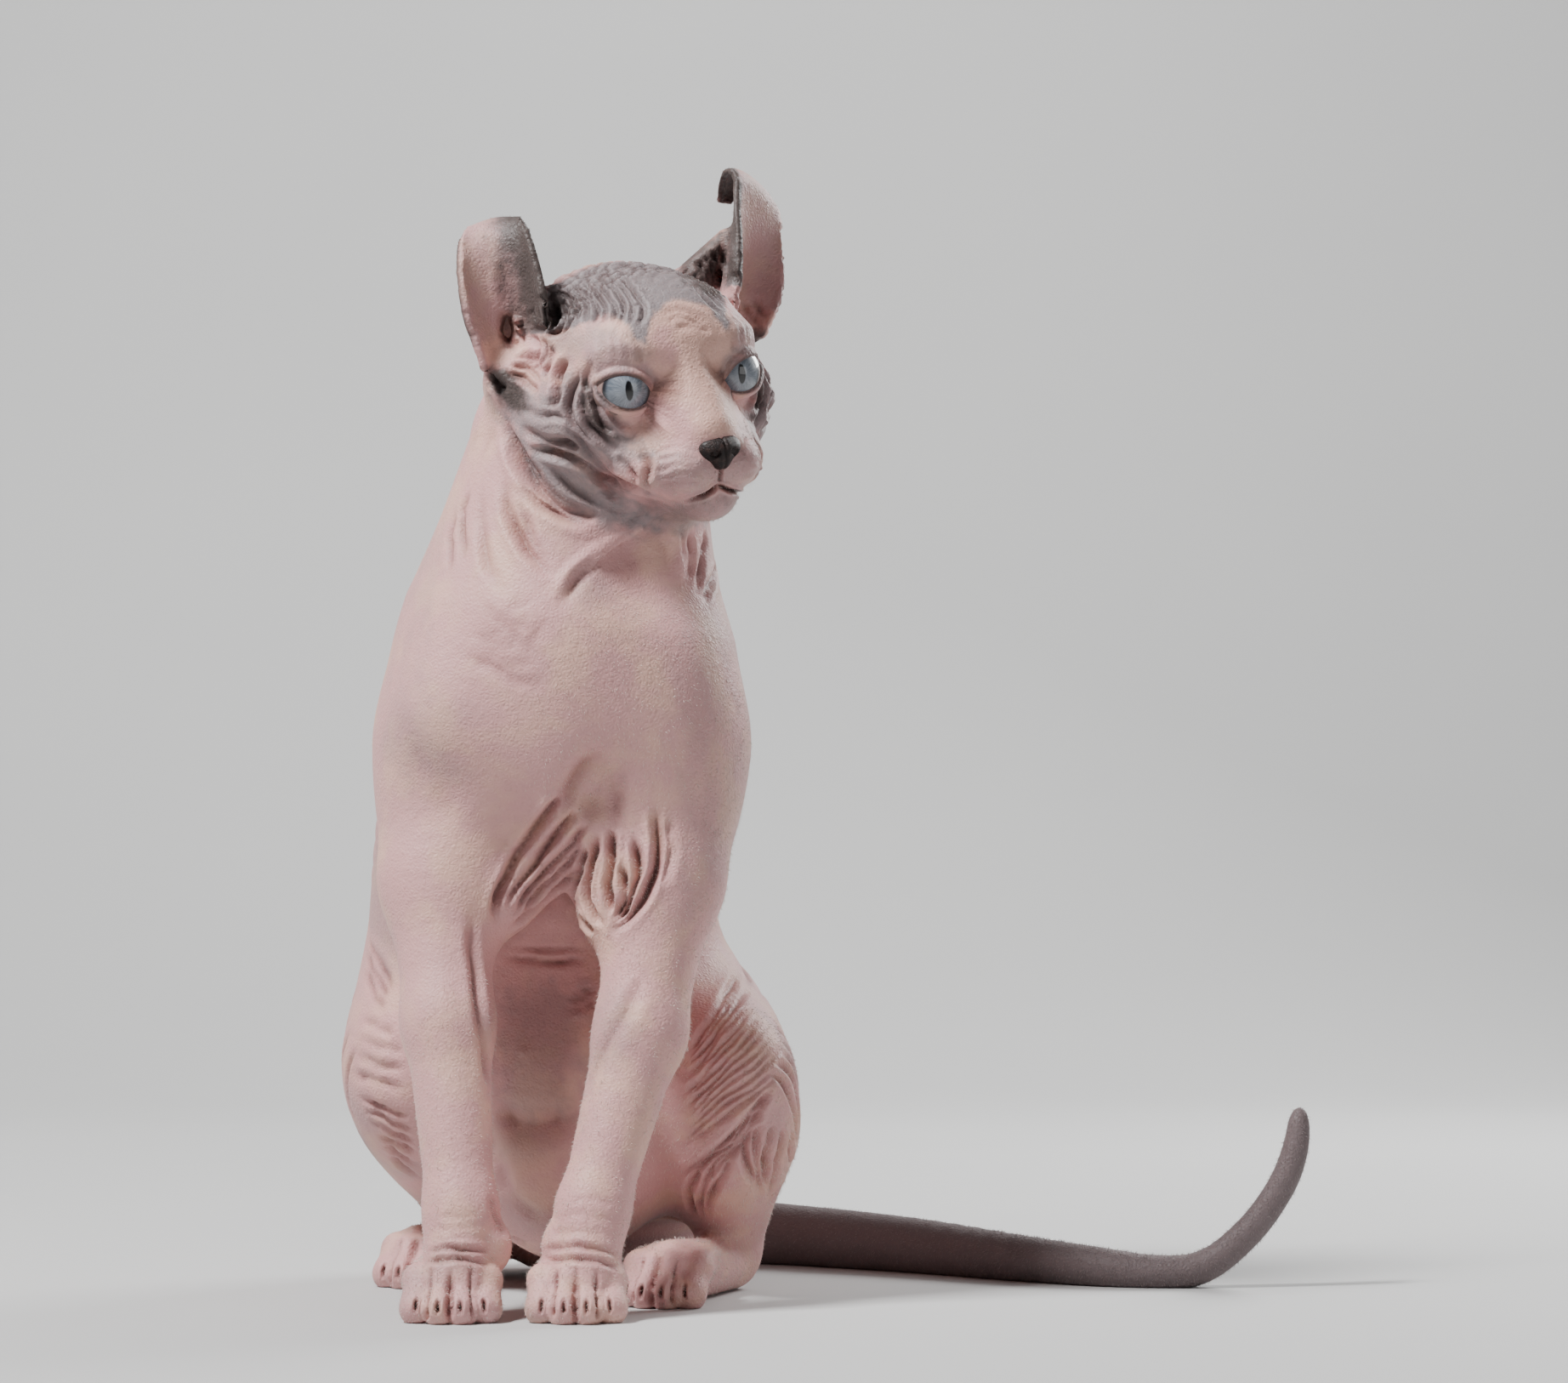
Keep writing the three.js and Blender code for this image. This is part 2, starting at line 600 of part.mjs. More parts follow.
// One ear: a thin cupped sheet that stands up from its foot and folds over to the back.
function earSheet(ear) {
  const { smoothstep, lerp } = THREE.MathUtils;
  const rows = EAR_ROWS;
  const columns = EAR_COLUMNS;
  const front = [];
  const rear = [];
  const spine = new THREE.Vector2(0, 0);
  for (let i = 0; i <= rows; i += 1) {
    const v = i / rows;
    const bend = ear.curl * smoothstep(v, ...ear.fold) * DEGREE;
    if (i > 0) spine.add(new THREE.Vector2(Math.sin(bend), Math.cos(bend)).multiplyScalar(ear.length / rows));
    const [from, power] = ear.narrow;
    const taper = Math.cos((Math.PI / 2) * (Math.max(v - from, 0) / (1 - from)) ** power);
    const foot = 1 - ear.pinch * (1 - smoothstep(v, 0, 0.34));
    const half = ear.halfWidth * Math.max(taper, 0.12) * foot;
    const cupped = lerp(EAR_CUP_DEPTH, -EAR_CREST_RISE, smoothstep(v, 0, ear.flat));
    const sag = cupped * (1 - 0.8 * smoothstep(v, 0.8, 1));
    const thick = lerp(1.5, 0.8, v);
    for (let j = 0; j <= columns; j += 1) {
      const u = (2 * j) / columns - 1;
      const angle = u * EAR_ROUNDNESS;
      const across = (half * Math.sin(angle)) / Math.sin(EAR_ROUNDNESS);
      const cup = (sag * (1 - Math.cos(angle))) / (1 - Math.cos(EAR_ROUNDNESS));
      const facing = new THREE.Vector2(
        (sag * Math.sin(angle)) / (1 - Math.cos(EAR_ROUNDNESS)),
        (half * Math.cos(angle)) / Math.sin(EAR_ROUNDNESS),
      ).normalize();
      const out = new THREE.Vector3(facing.x, facing.y * Math.cos(bend), -facing.y * Math.sin(bend));
      const [y, z] = [spine.x - cup * Math.cos(bend), spine.y + cup * Math.sin(bend)];
      const centre = new THREE.Vector3(across, y, z);
      const edge = thick * (1 - 0.45 * u * u);
      front.push(centre.clone().addScaledVector(out, -edge));
      rear.push(centre.clone().addScaledVector(out, edge));
    }
  }
  const vertices = [...front, ...rear];
  const wide = columns + 1;
  const back = front.length;
  const faces = [];
  const quad = (a, b, c, d) => faces.push([a, b, c], [a, c, d]);
  for (let i = 0; i < rows; i += 1) {
    for (let j = 0; j < columns; j += 1) {
      const a = i * wide + j;
      quad(a, a + 1, a + 1 + wide, a + wide);
      quad(back + a, back + a + wide, back + a + 1 + wide, back + a + 1);
    }
    const [left, right] = [i * wide, i * wide + columns];
    quad(left, left + wide, back + left + wide, back + left);
    quad(right, back + right, back + right + wide, right + wide);
  }
  for (let j = 0; j < columns; j += 1) {
    const top = rows * wide + j;
    quad(j, back + j, back + j + 1, j + 1);
    quad(top, top + 1, back + top + 1, back + top);
  }
  const frame = turn(ear.turn, -ear.tip, ear.lean).setPosition(...ear.foot);
  return solidOf(geometryOf(vertices, faces).applyMatrix4(HEAD_FRAME.clone().multiply(frame)));
}

const object = new THREE.Group();

function show(name, solid, colour, roughness = 0.6) {
  const material = new THREE.MeshStandardMaterial({ color: colour, roughness, metalness: 0 });
  const mesh = new THREE.Mesh(geometryFrom(solid), material);
  mesh.name = name;
  object.add(mesh);
}


const places = {
  head: region([0, 6, 42], [150, 170, 150], 0, 20, 0, HEAD_FRAME),
  chest: region([0, -70, 236], [240, 240, 132], 0, -6),
  neck: region([0, -70, 340], [240, 240, 140], 0, 10),
};

// The head's skin on a grid of its own, which is finest over the face.
function headSkin() {
  const lines = [ruled(-72, 72, HEAD_CELL), ruled(-72, 84, FACE_CELL, NAPE_CELL), ruled(-84, 56, HEAD_CELL)];
  return solidOf(surfaceOf(flesh, { lines, frame: HEAD_FRAME, cell: HEAD_CELL }));
}

function buildHead() {
  const skin = largest(headSkin().intersect(places.head.inside));
  const nose = noseSolid();
  let head = skin;
  for (const side of [-1, 1]) head = head.add(lidRing(side));
  for (const side of [-1, 1]) {
    head = head.subtract(eyeball(side, EYE_RADIUS + GAP)).subtract(lidOpening(side));
  }
  head = largest(head.subtract(grown(nose, GAP)).subtract(mouthGroove()));
  show("head", head, SKIN.pink);
  show("nose", largest(nose.subtract(nostril(-1)).subtract(nostril(1))), SKIN.dark, 0.5);
  const clear = grown(skin, GAP);
  for (const [name, ear] of Object.entries(EARS)) {
    show(`eye_${name}`, eyeball(ear.side, EYE_RADIUS), SKIN.iris, 0.1);
    show(`ear_${name}`, largest(earSheet(ear).subtract(clear)), SKIN.grey);
  }
}

function buildLimbs() {
  const taken = [];
  for (const [name, leg] of Object.entries(FORELEGS)) {
    const place = legRegion(leg.elbow, leg.wrist, 60, 54);
    const pawPlace = region([leg.paw[0], leg.paw[1] + 12, 27], [52, 84, 54]);
    show(`foreleg_${name}`, piece(place, LEG_CELL), SKIN.pink);
    show(`forepaw_${name}`, piece(pawPlace, PAW_CELL, [place]), SKIN.pink);
    taken.push(place, pawPlace);
  }
  for (const [name, leg] of Object.entries(HINDLEGS)) {
    const { heel, ball: pad, thigh, thighYaw } = leg;
    const middle = [(heel[0] + pad[0]) / 2, (heel[1] + pad[1]) / 2];
    const footYaw = -Math.atan2(pad[0] - heel[0], heel[1] - pad[1]) / DEGREE;
    const foot = region([middle[0], middle[1] - 12, 11.5], [46, 118, 23], -footYaw);
    const side = name === "left" ? 1 : -1;
    const flank = [thigh[0] + side * 28, thigh[1] - 18, 76];
    const haunch = region(flank, [80, 170, 105], thighYaw * 0.4, 0, side * 12);
    show(`haunch_${name}`, piece(haunch, HAUNCH_CELL, [foot, ...taken.slice(0, 4)]), SKIN.pink);
    show(`hindfoot_${name}`, piece(foot, FOOT_CELL, taken.slice(0, 4)), SKIN.pink);
    taken.push(foot, haunch);
  }
  return taken;
}

function buildTrunk(taken) {
  const whole = new THREE.Box3(new THREE.Vector3(-125, -215, -20), new THREE.Vector3(125, 100, 440));
  const skin = solidOf(surfaceOf(flesh, evenGrid(whole, TORSO_CELL)));
  const floor = region([0, -60, 250], [400, 400, 500]);
  let rest = skin.intersect(floor.inside);
  for (const place of taken) rest = rest.subtract(place.cleared);
  const body = rest.subtract(places.head.cleared);
  const neck = largest(body.intersect(places.neck.inside));
  const chest = largest(body.intersect(places.chest.inside).subtract(places.neck.cleared));
  const loin = largest(body.subtract(places.chest.cleared).subtract(places.neck.cleared));
  show("neck", neck, SKIN.pink);
  show("chest", chest, SKIN.pink);
  show("loin_and_pelvis", loin, SKIN.pink);
  return grown(loin, GAP);
}

function buildTail(clear) {
  const whole = tube(TAIL_ROUTE, TAIL_RADII, 10, 38).subtract(clear);
  const floor = region([150, 0, 100], [400, 400, 200]);
  const cuts = [region([128, 30, 30], [GAP, 90, 90], -52), region([216, -37, 30], [GAP, 90, 90], -18)];
  let tail = whole.intersect(floor.inside);
  tail = largest(tail);
  for (const cut of cuts) tail = tail.subtract(cut.inside);
  const lengths = tail.decompose().sort((a, b) => a.boundingBox().min[0] - b.boundingBox().min[0]);
  lengths.forEach((length, i) => show(`tail_${["root", "middle", "end"][i]}`, length, SKIN.grey));
}

buildHead();
const taken = buildLimbs();
buildTail(buildTrunk(taken));

// The origin moves into the flat under the pelvis.
object.position.set(-PELVIS_AT[0], -PELVIS_AT[1], 0);

export default object;
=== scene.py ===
"""A seated hairless cat with curled-back ears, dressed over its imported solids.

Lengths in the classes are in millimetres from the modeller's point on the floor between the feet, with x to
the cat's left, y to its back and z up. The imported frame's origin lies in the flat under the pelvis, so every
finished mesh is moved there and scaled to metres once, by the function that makes its object. The routes of
the folds that the photograph shows are drawn in its pixels, and are thrown onto the skin from its camera.
"""

from __future__ import annotations

import logging
import math
from collections.abc import Iterable, Sequence
from dataclasses import dataclass, replace
from enum import Enum
from typing import Any

import bpy
import numpy as np
from mathutils import Matrix, Vector, noise
from mathutils.bvhtree import BVHTree

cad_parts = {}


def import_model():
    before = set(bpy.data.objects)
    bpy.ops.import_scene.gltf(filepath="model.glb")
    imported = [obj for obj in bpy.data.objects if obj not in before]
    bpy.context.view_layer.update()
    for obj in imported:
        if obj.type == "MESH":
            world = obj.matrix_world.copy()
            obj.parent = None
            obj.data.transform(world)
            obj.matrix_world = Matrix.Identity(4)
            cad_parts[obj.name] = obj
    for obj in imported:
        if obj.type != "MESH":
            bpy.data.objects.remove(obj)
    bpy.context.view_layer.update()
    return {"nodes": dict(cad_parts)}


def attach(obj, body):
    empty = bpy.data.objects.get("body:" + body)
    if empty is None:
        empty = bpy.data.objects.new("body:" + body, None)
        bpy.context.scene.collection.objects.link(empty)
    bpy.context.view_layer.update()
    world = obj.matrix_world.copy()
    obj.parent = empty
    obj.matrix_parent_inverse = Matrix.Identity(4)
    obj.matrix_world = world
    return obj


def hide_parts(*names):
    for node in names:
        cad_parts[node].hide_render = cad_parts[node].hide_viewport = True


LOG = logging.getLogger("cat")
ORIGIN_MM = np.array([2.0, 22.0, 0.0])
PHOTO_SIZE = (1844, 1626)
Point = Sequence[float]
Array = np.ndarray


def turn(yaw: float = 0.0, pitch: float = 0.0, roll: float = 0.0) -> Array:
    """Gives the matrix that rolls about Y, then pitches about X, then yaws about Z, in degrees."""
    spin = Matrix.Rotation(math.radians(yaw), 3, "Z")
    nod = Matrix.Rotation(math.radians(pitch), 3, "X")
    lean = Matrix.Rotation(math.radians(roll), 3, "Y")
    return np.array(spin @ nod @ lean)


def smoothstep(value: Array | float, low: float, high: float) -> Array | float:
    """Rises from 0 at low to 1 at high without a corner."""
    t = np.clip((value - low) / (high - low), 0.0, 1.0)
    return t * t * (3.0 - 2.0 * t)


def length_of(vectors: Array) -> Array:
    """Gives the length of each row."""
    return np.sqrt(np.einsum("...i,...i", vectors, vectors))


@dataclass(frozen=True)
class Pose:
    """A place and a turn that a group of masses is modelled in."""

    at: tuple[float, float, float] = (0.0, 0.0, 0.0)
    yaw: float = 0.0
    pitch: float = 0.0
    roll: float = 0.0

    @property
    def matrix(self) -> Array:
        """The turn as a 3 by 3 matrix."""
        return turn(self.yaw, self.pitch, self.roll)

    def out(self, points: Array) -> Array:
        """Takes points from this pose's frame to the world."""
        return np.asarray(points, float) @ self.matrix.T + np.array(self.at)

    def into(self, points: Array) -> Array:
        """Takes world points into this pose's frame."""
        return (np.asarray(points, float) - np.array(self.at)) @ self.matrix

    def inside(self, outer: Pose) -> Pose:
        """Gives this pose as seen from the world when it is modelled inside another one."""
        both = Matrix((outer.matrix @ self.matrix).tolist())
        angles = both.to_euler("YXZ")
        place = tuple(outer.out(np.array([self.at]))[0])
        return Pose(place, math.degrees(angles.z), math.degrees(angles.x), math.degrees(angles.y))


@dataclass(frozen=True)
class Ball:
    """A rounded mass of flesh with three radii."""

    pose: Pose
    radii: tuple[float, float, float]
    blend: float

    @property
    def centre(self) -> Array:
        """Its middle in the world."""
        return np.array(self.pose.at)

    @property
    def reach(self) -> float:
        """How far it reaches from its middle."""
        return max(self.radii)

    def distance(self, points: Array) -> Array:
        """Measures roughly how far points lie outside it, negative inside."""
        q = self.pose.into(points) / np.array(self.radii)
        k0 = length_of(q)
        k1 = length_of(q / np.array(self.radii))
        return np.where(k1 < 1e-9, -min(self.radii), k0 * (k0 - 1.0) / np.maximum(k1, 1e-9))

    def beads(self) -> list[tuple[Array, Array, Array]]:
        """Lists the spheres that rough it out, as centre, radii and turn."""
        return [(self.centre, np.array(self.radii), self.pose.matrix)]


@dataclass(frozen=True)
class Limb:
    """A mass that tapers between two points."""

    start: tuple[float, float, float]
    r0: float
    end: tuple[float, float, float]
    r1: float
    blend: float

    @property
    def centre(self) -> Array:
        """Its middle in the world."""
        return (np.array(self.start) + np.array(self.end)) / 2.0

    @property
    def reach(self) -> float:
        """How far it reaches from its middle."""
        return float(np.linalg.norm(np.subtract(self.end, self.start))) / 2.0 + max(self.r0, self.r1)

    def distance(self, points: Array) -> Array:
        """Measures how far points lie outside it, negative inside."""
        along = np.subtract(self.end, self.start)
        q = points - np.array(self.start)
        t = np.clip(q @ along / (along @ along), 0.0, 1.0)
        return length_of(q - t[:, None] * along) - (self.r0 + (self.r1 - self.r0) * t)

    def beads(self) -> list[tuple[Array, Array, Array]]:
        """Lists the spheres that rough it out, as centre, radii and turn."""
        length = float(np.linalg.norm(np.subtract(self.end, self.start)))
        count = max(2, math.ceil(length / (0.45 * min(self.r0, self.r1))))
        made = []
        for t in np.linspace(0.0, 1.0, count):
            centre = np.array(self.start) * (1.0 - t) + np.array(self.end) * t
            made.append((centre, np.full(3, self.r0 + (self.r1 - self.r0) * t), np.eye(3)))
        return made


Mass = Ball | Limb


def moved(mass: Mass, pose: Pose) -> Mass:
    """Takes a mass from a pose's frame to the world."""
    if isinstance(mass, Ball):
        return replace(mass, pose=mass.pose.inside(pose))
    start, end = pose.out(np.array([mass.start, mass.end]))
    return replace(mass, start=tuple(start), end=tuple(end))


def ball(at: Point, radii: Point, blend: float, yaw: float = 0.0, pitch: float = 0.0) -> Ball:
    """Makes a rounded mass from its place, radii, blend and turn."""
    return Ball(Pose(tuple(at), yaw, pitch), tuple(radii), blend)


@dataclass(frozen=True)
class Trunk:
    """The body from the seat to the top of the neck."""

    pelvis: tuple = ((2, 22, 60), (62, 54, 64))
    flank: tuple = ((-18, -14, 122), (69, 58, 78))
    belly: tuple = ((-6, -58, 86), (48, 48, 74))
    ribs: tuple = ((-16, -46, 178), (65, 62, 78))
    chest: tuple = ((-6, -94, 222), (55, 54, 62))
    withers: tuple = ((-6, -52, 246), (48, 38, 52))
    neck_foot: tuple = (-6, -86, 262)
    neck_top: tuple = (3, -88, 324)

    def masses(self) -> list[Mass]:
        """Lists its masses in the order in which they blend."""
        return [
            ball(*self.pelvis, 1, yaw=-20),
            ball(*self.flank, 30),
            ball(*self.belly, 22),
            ball(*self.ribs, 30),
            ball(*self.chest, 30),
            ball(*self.withers, 30, pitch=-14),
            Limb(self.neck_foot, 59, self.neck_top, 46, 30),
            Limb((4, -121, 186), 11, (-24, -119, 151), 8, 9),
            Limb((8, -122, 184), 11, (11, -122, 150), 9.5, 7),
            Limb((14, -117, 184), 10, (20, -117, 160), 8, 8),
        ]


@dataclass(frozen=True)
class Toes:
    """The four toes of a foot, with their tips towards -y of their own pose."""

    pose: Pose
    spread: float
    width: float
    knuckle: float
    radius: float

    def joints(self, index: int) -> tuple[Point, Point, Point]:
        """Gives the root, the knuckle and the tip of a toe in the foot's own frame."""
        side = (index - 1.5) / 1.5
        back = 5.5 * side * side
        x = side * (self.width - self.radius)
        root = (x * 0.8, back + 12, self.knuckle + 2)
        knee = (x, back - 3, self.knuckle)
        return root, knee, (x * self.spread, back - 12, self.radius - 0.6)

    def masses(self) -> list[Mass]:
        """Lists the toes' masses."""
        made: list[Mass] = []
        for index in range(4):
            root, knee, tip = self.joints(index)
            made.append(Limb(root, self.radius + 0.6, knee, self.radius + 0.4, 3))
            made.append(Limb(knee, self.radius + 0.4, tip, self.radius, 1.6))
        return [moved(mass, self.pose) for mass in made]


@dataclass(frozen=True)
class Foreleg:
    """A foreleg from the shoulder to the toes."""

    shoulder: tuple
    elbow: tuple
    forearm: tuple
    wrist: tuple
    paw: tuple
    inward: int

    @property
    def toes(self) -> Toes:
        """The toes of its paw."""
        return Toes(Pose((self.paw[0], self.paw[1], 0)), 1.03, 17.6, 14.5, 5.6)

    def masses(self) -> list[Mass]:
        """Lists its masses in the order in which they blend."""
        knuckles = ((self.wrist[0] + self.paw[0]) / 2, self.paw[1] + 2, 14)
        thumb = (self.wrist[0] + self.inward * 13, self.wrist[1] - 2, 26)
        return [
            ball(self.shoulder, (24, 38, 46), 26, pitch=10),
            Limb(self.shoulder, 24, self.elbow, 21.5, 22),
            Limb(self.elbow, 21, self.forearm, 15.6, 14),
            Limb(self.forearm, 15.6, self.wrist, 12.3, 10),
            Limb(self.wrist, 12.6, knuckles, 12.5, 8),
            ball(thumb, (6, 8, 9), 5),
            *self.toes.masses(),
        ]


@dataclass(frozen=True)
class Hindleg:
    """A folded hindleg from the thigh to the toes."""

    thigh: tuple
    thigh_yaw: float
    knee: tuple
    shin: tuple
    hock: tuple
    heel: tuple
    pad: tuple
    toe_yaw: float

    @property
    def toes(self) -> Toes:
        """The toes of its foot."""
        foot = Pose(self.pad, self.toe_yaw)
        front = tuple(foot.out(np.array([[0, -8, -12]]))[0])
        return Toes(Pose(front, self.toe_yaw), 1.04, 16.8, 14, 5.8)

    def masses(self) -> list[Mass]:
        """Lists its masses in the order in which they blend."""
        return [
            ball(self.thigh, (36, 60, 50), 24, yaw=self.thigh_yaw),
            ball(self.knee, (24, 26, 32), 22),
            Limb(self.shin, 20, self.hock, 13, 14),
            Limb(self.heel, 10.5, self.pad, 12, 8),
            *self.toes.masses(),
        ]


FORELEGS = {
    "right": Foreleg((-47, -96, 210), (-51, -114, 160), (-48, -136, 108), (-41.5, -159, 40), (-43.8, -172, 0), 1),
    "left": Foreleg((34, -96, 210), (31, -116, 160), (24.5, -137, 104), (7.5, -159, 40), (2.1, -172, 0), -1),
}
HINDLEGS = {
    "right": Hindleg(
        (-51, -6, 84), -28, (-63, -50, 88), (-59, -38, 64), (-48, 22, 20), (-46, 30, 10.5), (-62, -26, 12), -16
    ),
    "left": Hindleg(
        (44, -30, 78), 14, (57, -84, 78), (60, -78, 58), (57, -42, 20), (57, -46, 10.5), (36, -106, 12), -18
    ),
}


@dataclass(frozen=True)
class Head:
    """The head, in a frame of its own: x to the cat's left, y to the nape, z up."""

    pose: Pose = Pose((22, -105, 350), 31, 10, -10)
    eye_at: tuple = (23.3, -31.0, 4.3)
    eye_outward: float = 17
    gaze: tuple = (-11.0, 4.0, 4.0)

    def masses(self) -> list[Mass]:
        """Lists its masses in the order in which they blend."""
        made: list[Mass] = [
            ball((0, 12, 10), (41, 44, 35), 16),
            ball((0, -16, 16), (35, 27, 25), 16),
            Limb((0, -4, -8), 34, (0, -36, -19), 20, 18),
            Limb((0, -30, 5), 13.5, (0, -52, -12), 8.4, 12),
            ball((0, -45, -38), (12, 13, 9), 9),
            Limb((0, -40, -35), 11, (0, 0, -28), 24, 14),
        ]
        for side in (-1, 1):
            made.append(ball((side * 32, -12, -8), (16, 22, 17), 12))
            made.append(ball((side * 28, 2, -22), (20, 24, 19), 12))
            made.append(ball((side * 21, -29, 15), (14, 10, 8), 8))
            made.append(ball((side * 44, 14, 5), (13, 12, 12), 10))
            made.append(ball((side * 17, -37, -27), (12, 15, 10.5), 8))
            made.append(ball((side * 9.5, -50, -25.5), (11, 11.5, 9.5), 5))
        return [moved(mass, self.pose) for mass in made]

    def eye_pose(self, side: int) -> Pose:
        """Gives the frame of an eye, which looks along its -y."""
        x, y, z = self.eye_at
        return Pose((side * x, y, z), side * self.eye_outward).inside(self.pose)

    def mirrored(self, points: Array) -> Array:
        """Takes points to the other side of the face."""
        return self.pose.out(self.pose.into(points) * np.array([-1.0, 1.0, 1.0]))

    def gaze_pose(self, side: int) -> Pose:
        """Gives the frame of an iris, which looks along its -y."""
        x, y, z = self.eye_at
        sideways, apart, up = self.gaze
        return Pose((side * x, y, z), sideways + side * apart, -up).inside(self.pose)


HEAD = Head()


@dataclass(frozen=True)
class Ear:
    """A thin cupped ear that stands up from its foot and folds over to the back."""

    side: int
    foot: tuple
    length: float
    half_width: float
    pinch: float
    yaw: float
    tip: float
    lean: float
    curl: float
    fold: tuple
    narrow: tuple
    flat: tuple
    root: tuple
    dark_edge: tuple
    cup_depth: float = 14
    crest_rise: float = 5
    roundness: float = math.radians(78)

    @property
    def pose(self) -> Pose:
        """The frame that it stands in."""
        return Pose(self.foot, self.yaw, -self.tip, self.lean).inside(HEAD.pose)

    def sheet(self, rows: int = 44, columns: int = 26) -> Array:
        """Makes the grid of points in the middle of its thickness.

        Args:
            rows: steps from the foot to the tip.
            columns: steps from one edge to the other.

        Returns:
            Points of shape (rows + 1, columns + 1, 3) in the world.
        """
        grid = np.zeros((rows + 1, columns + 1, 3))
        angle = np.linspace(-1.0, 1.0, columns + 1) * self.roundness
        back, up = 0.0, 0.0
        for i in range(rows + 1):
            v = i / rows
            bend = math.radians(self.curl) * float(smoothstep(v, *self.fold))
            if i > 0:
                back += math.sin(bend) * self.length / rows
                up += math.cos(bend) * self.length / rows
            start, power = self.narrow
            taper = math.cos(math.pi / 2 * (max(v - start, 0.0) / (1 - start)) ** power)
            foot = 1 - self.pinch * (1 - float(smoothstep(v, 0.0, 0.34)))
            half = self.half_width * max(taper, 0.12) * foot
            cupped = self.cup_depth - (self.crest_rise + self.cup_depth) * float(smoothstep(v, *self.flat))
            sag = cupped * (1 - 0.8 * float(smoothstep(v, 0.8, 1.0)))
            cup = sag * (1 - np.cos(angle)) / (1 - math.cos(self.roundness))
            grid[i, :, 0] = half * np.sin(angle) / math.sin(self.roundness)
            grid[i, :, 1] = back - cup * math.cos(bend)
            grid[i, :, 2] = up + cup * math.sin(bend)
        return self.pose.out(grid.reshape(-1, 3)).reshape(grid.shape)


EARS = {
    "right": Ear(-1, (-42.6, 13, 12), 74, 15.4, 0.18, -32, 4, -8, 125, (0.48, 1.04), (0.2, 1.7), (0.28, 1.0),
                 ((-32, 10, 36), 4.5, (-18, 7, 29.5), 6), (-0.7, 0.75)),
    "left": Ear(1, (45.3, 13, 15), 82.5, 16.4, 0.3, 24, 0, 33, 165, (0.62, 1.0), (0.4, 2.4), (0.16, 0.9),
                ((52, 17, 48), 3.4, (35, 20, 29), 9), (0.5, 0.95)),
}


@dataclass(frozen=True)
class Tail:
    """The tail's route along the floor, and its radii."""

    route: tuple = (
        (16, 58, 20), (42, 72, 14), (72, 68, 12), (105, 47, 11.2), (138, 22, 10.1), (170, -8, 8.6), (200, -31, 7.1),
        (223, -39, 5.6), (243, -40, 8.2), (261, -40, 22.5), (273.5, -40, 40), (279, -40, 55), (280.5, -40, 68),
    )
    radii: tuple = (15, 13, 12, 11.2, 10.2, 8.7, 7.2, 5.8, 5.1, 4.7, 4.3, 3.6, 2.4)

    def line(self) -> tuple[Array, Array]:
        """Gives the smooth line through the route, and its radii."""
        return spline(np.array(self.route, float), 4), spline(np.array(self.radii, float)[:, None], 4)[:, 0]

    def masses(self) -> list[Mass]:
        """Lists its masses: short limbs along the line."""
        line, radii = self.line()
        made: list[Mass] = []
        for i in range(len(line) - 1):
            made.append(Limb(tuple(line[i]), radii[i], tuple(line[i + 1]), radii[i + 1], 4))
        return made


def spline(points: Array, steps: int) -> Array:
    """Runs a smooth line through points.

    Args:
        points: the points, of shape (n, dimensions).
        steps: how many points to make for each stretch.
    """
    padded = np.concatenate([2 * points[:1] - points[1:2], points, 2 * points[-1:] - points[-2:-1]])
    made = []
    for i in range(len(points) - 1):
        a, b, c, d = padded[i : i + 4]
        for t in np.arange(steps) / steps:
            made.append(
                0.5 * (2 * b + (c - a) * t + (2 * a - 5 * b + 4 * c - d) * t * t + (3 * b - a - 3 * c + d) * t**3)
            )
    made.append(points[-1])
    return np.array(made)


class Ripple:
    """A smooth wandering value over space, made of a few seeded waves."""

    WAVES = 14

    def __init__(self, size: float, seed: int) -> None:
        """Draws the waves.

        Args:
            size: the mean length of a wave in millimetres.
            seed: the number that the draw starts from.
        """
        rng = np.random.default_rng(seed)
        way = rng.normal(size=(self.WAVES, 3))
        way /= length_of(way)[:, None]
        self.pace = way * (2 * math.pi / (size * rng.uniform(0.7, 1.6, self.WAVES)))[:, None]
        self.start = rng.uniform(0.0, 2 * math.pi, self.WAVES)

    def __call__(self, points: Array) -> Array:
        """Reads the value at points, about -2 to 2 with a spread of 1."""
        return np.sin(points @ self.pace.T + self.start).sum(axis=1) / math.sqrt(self.WAVES / 2)


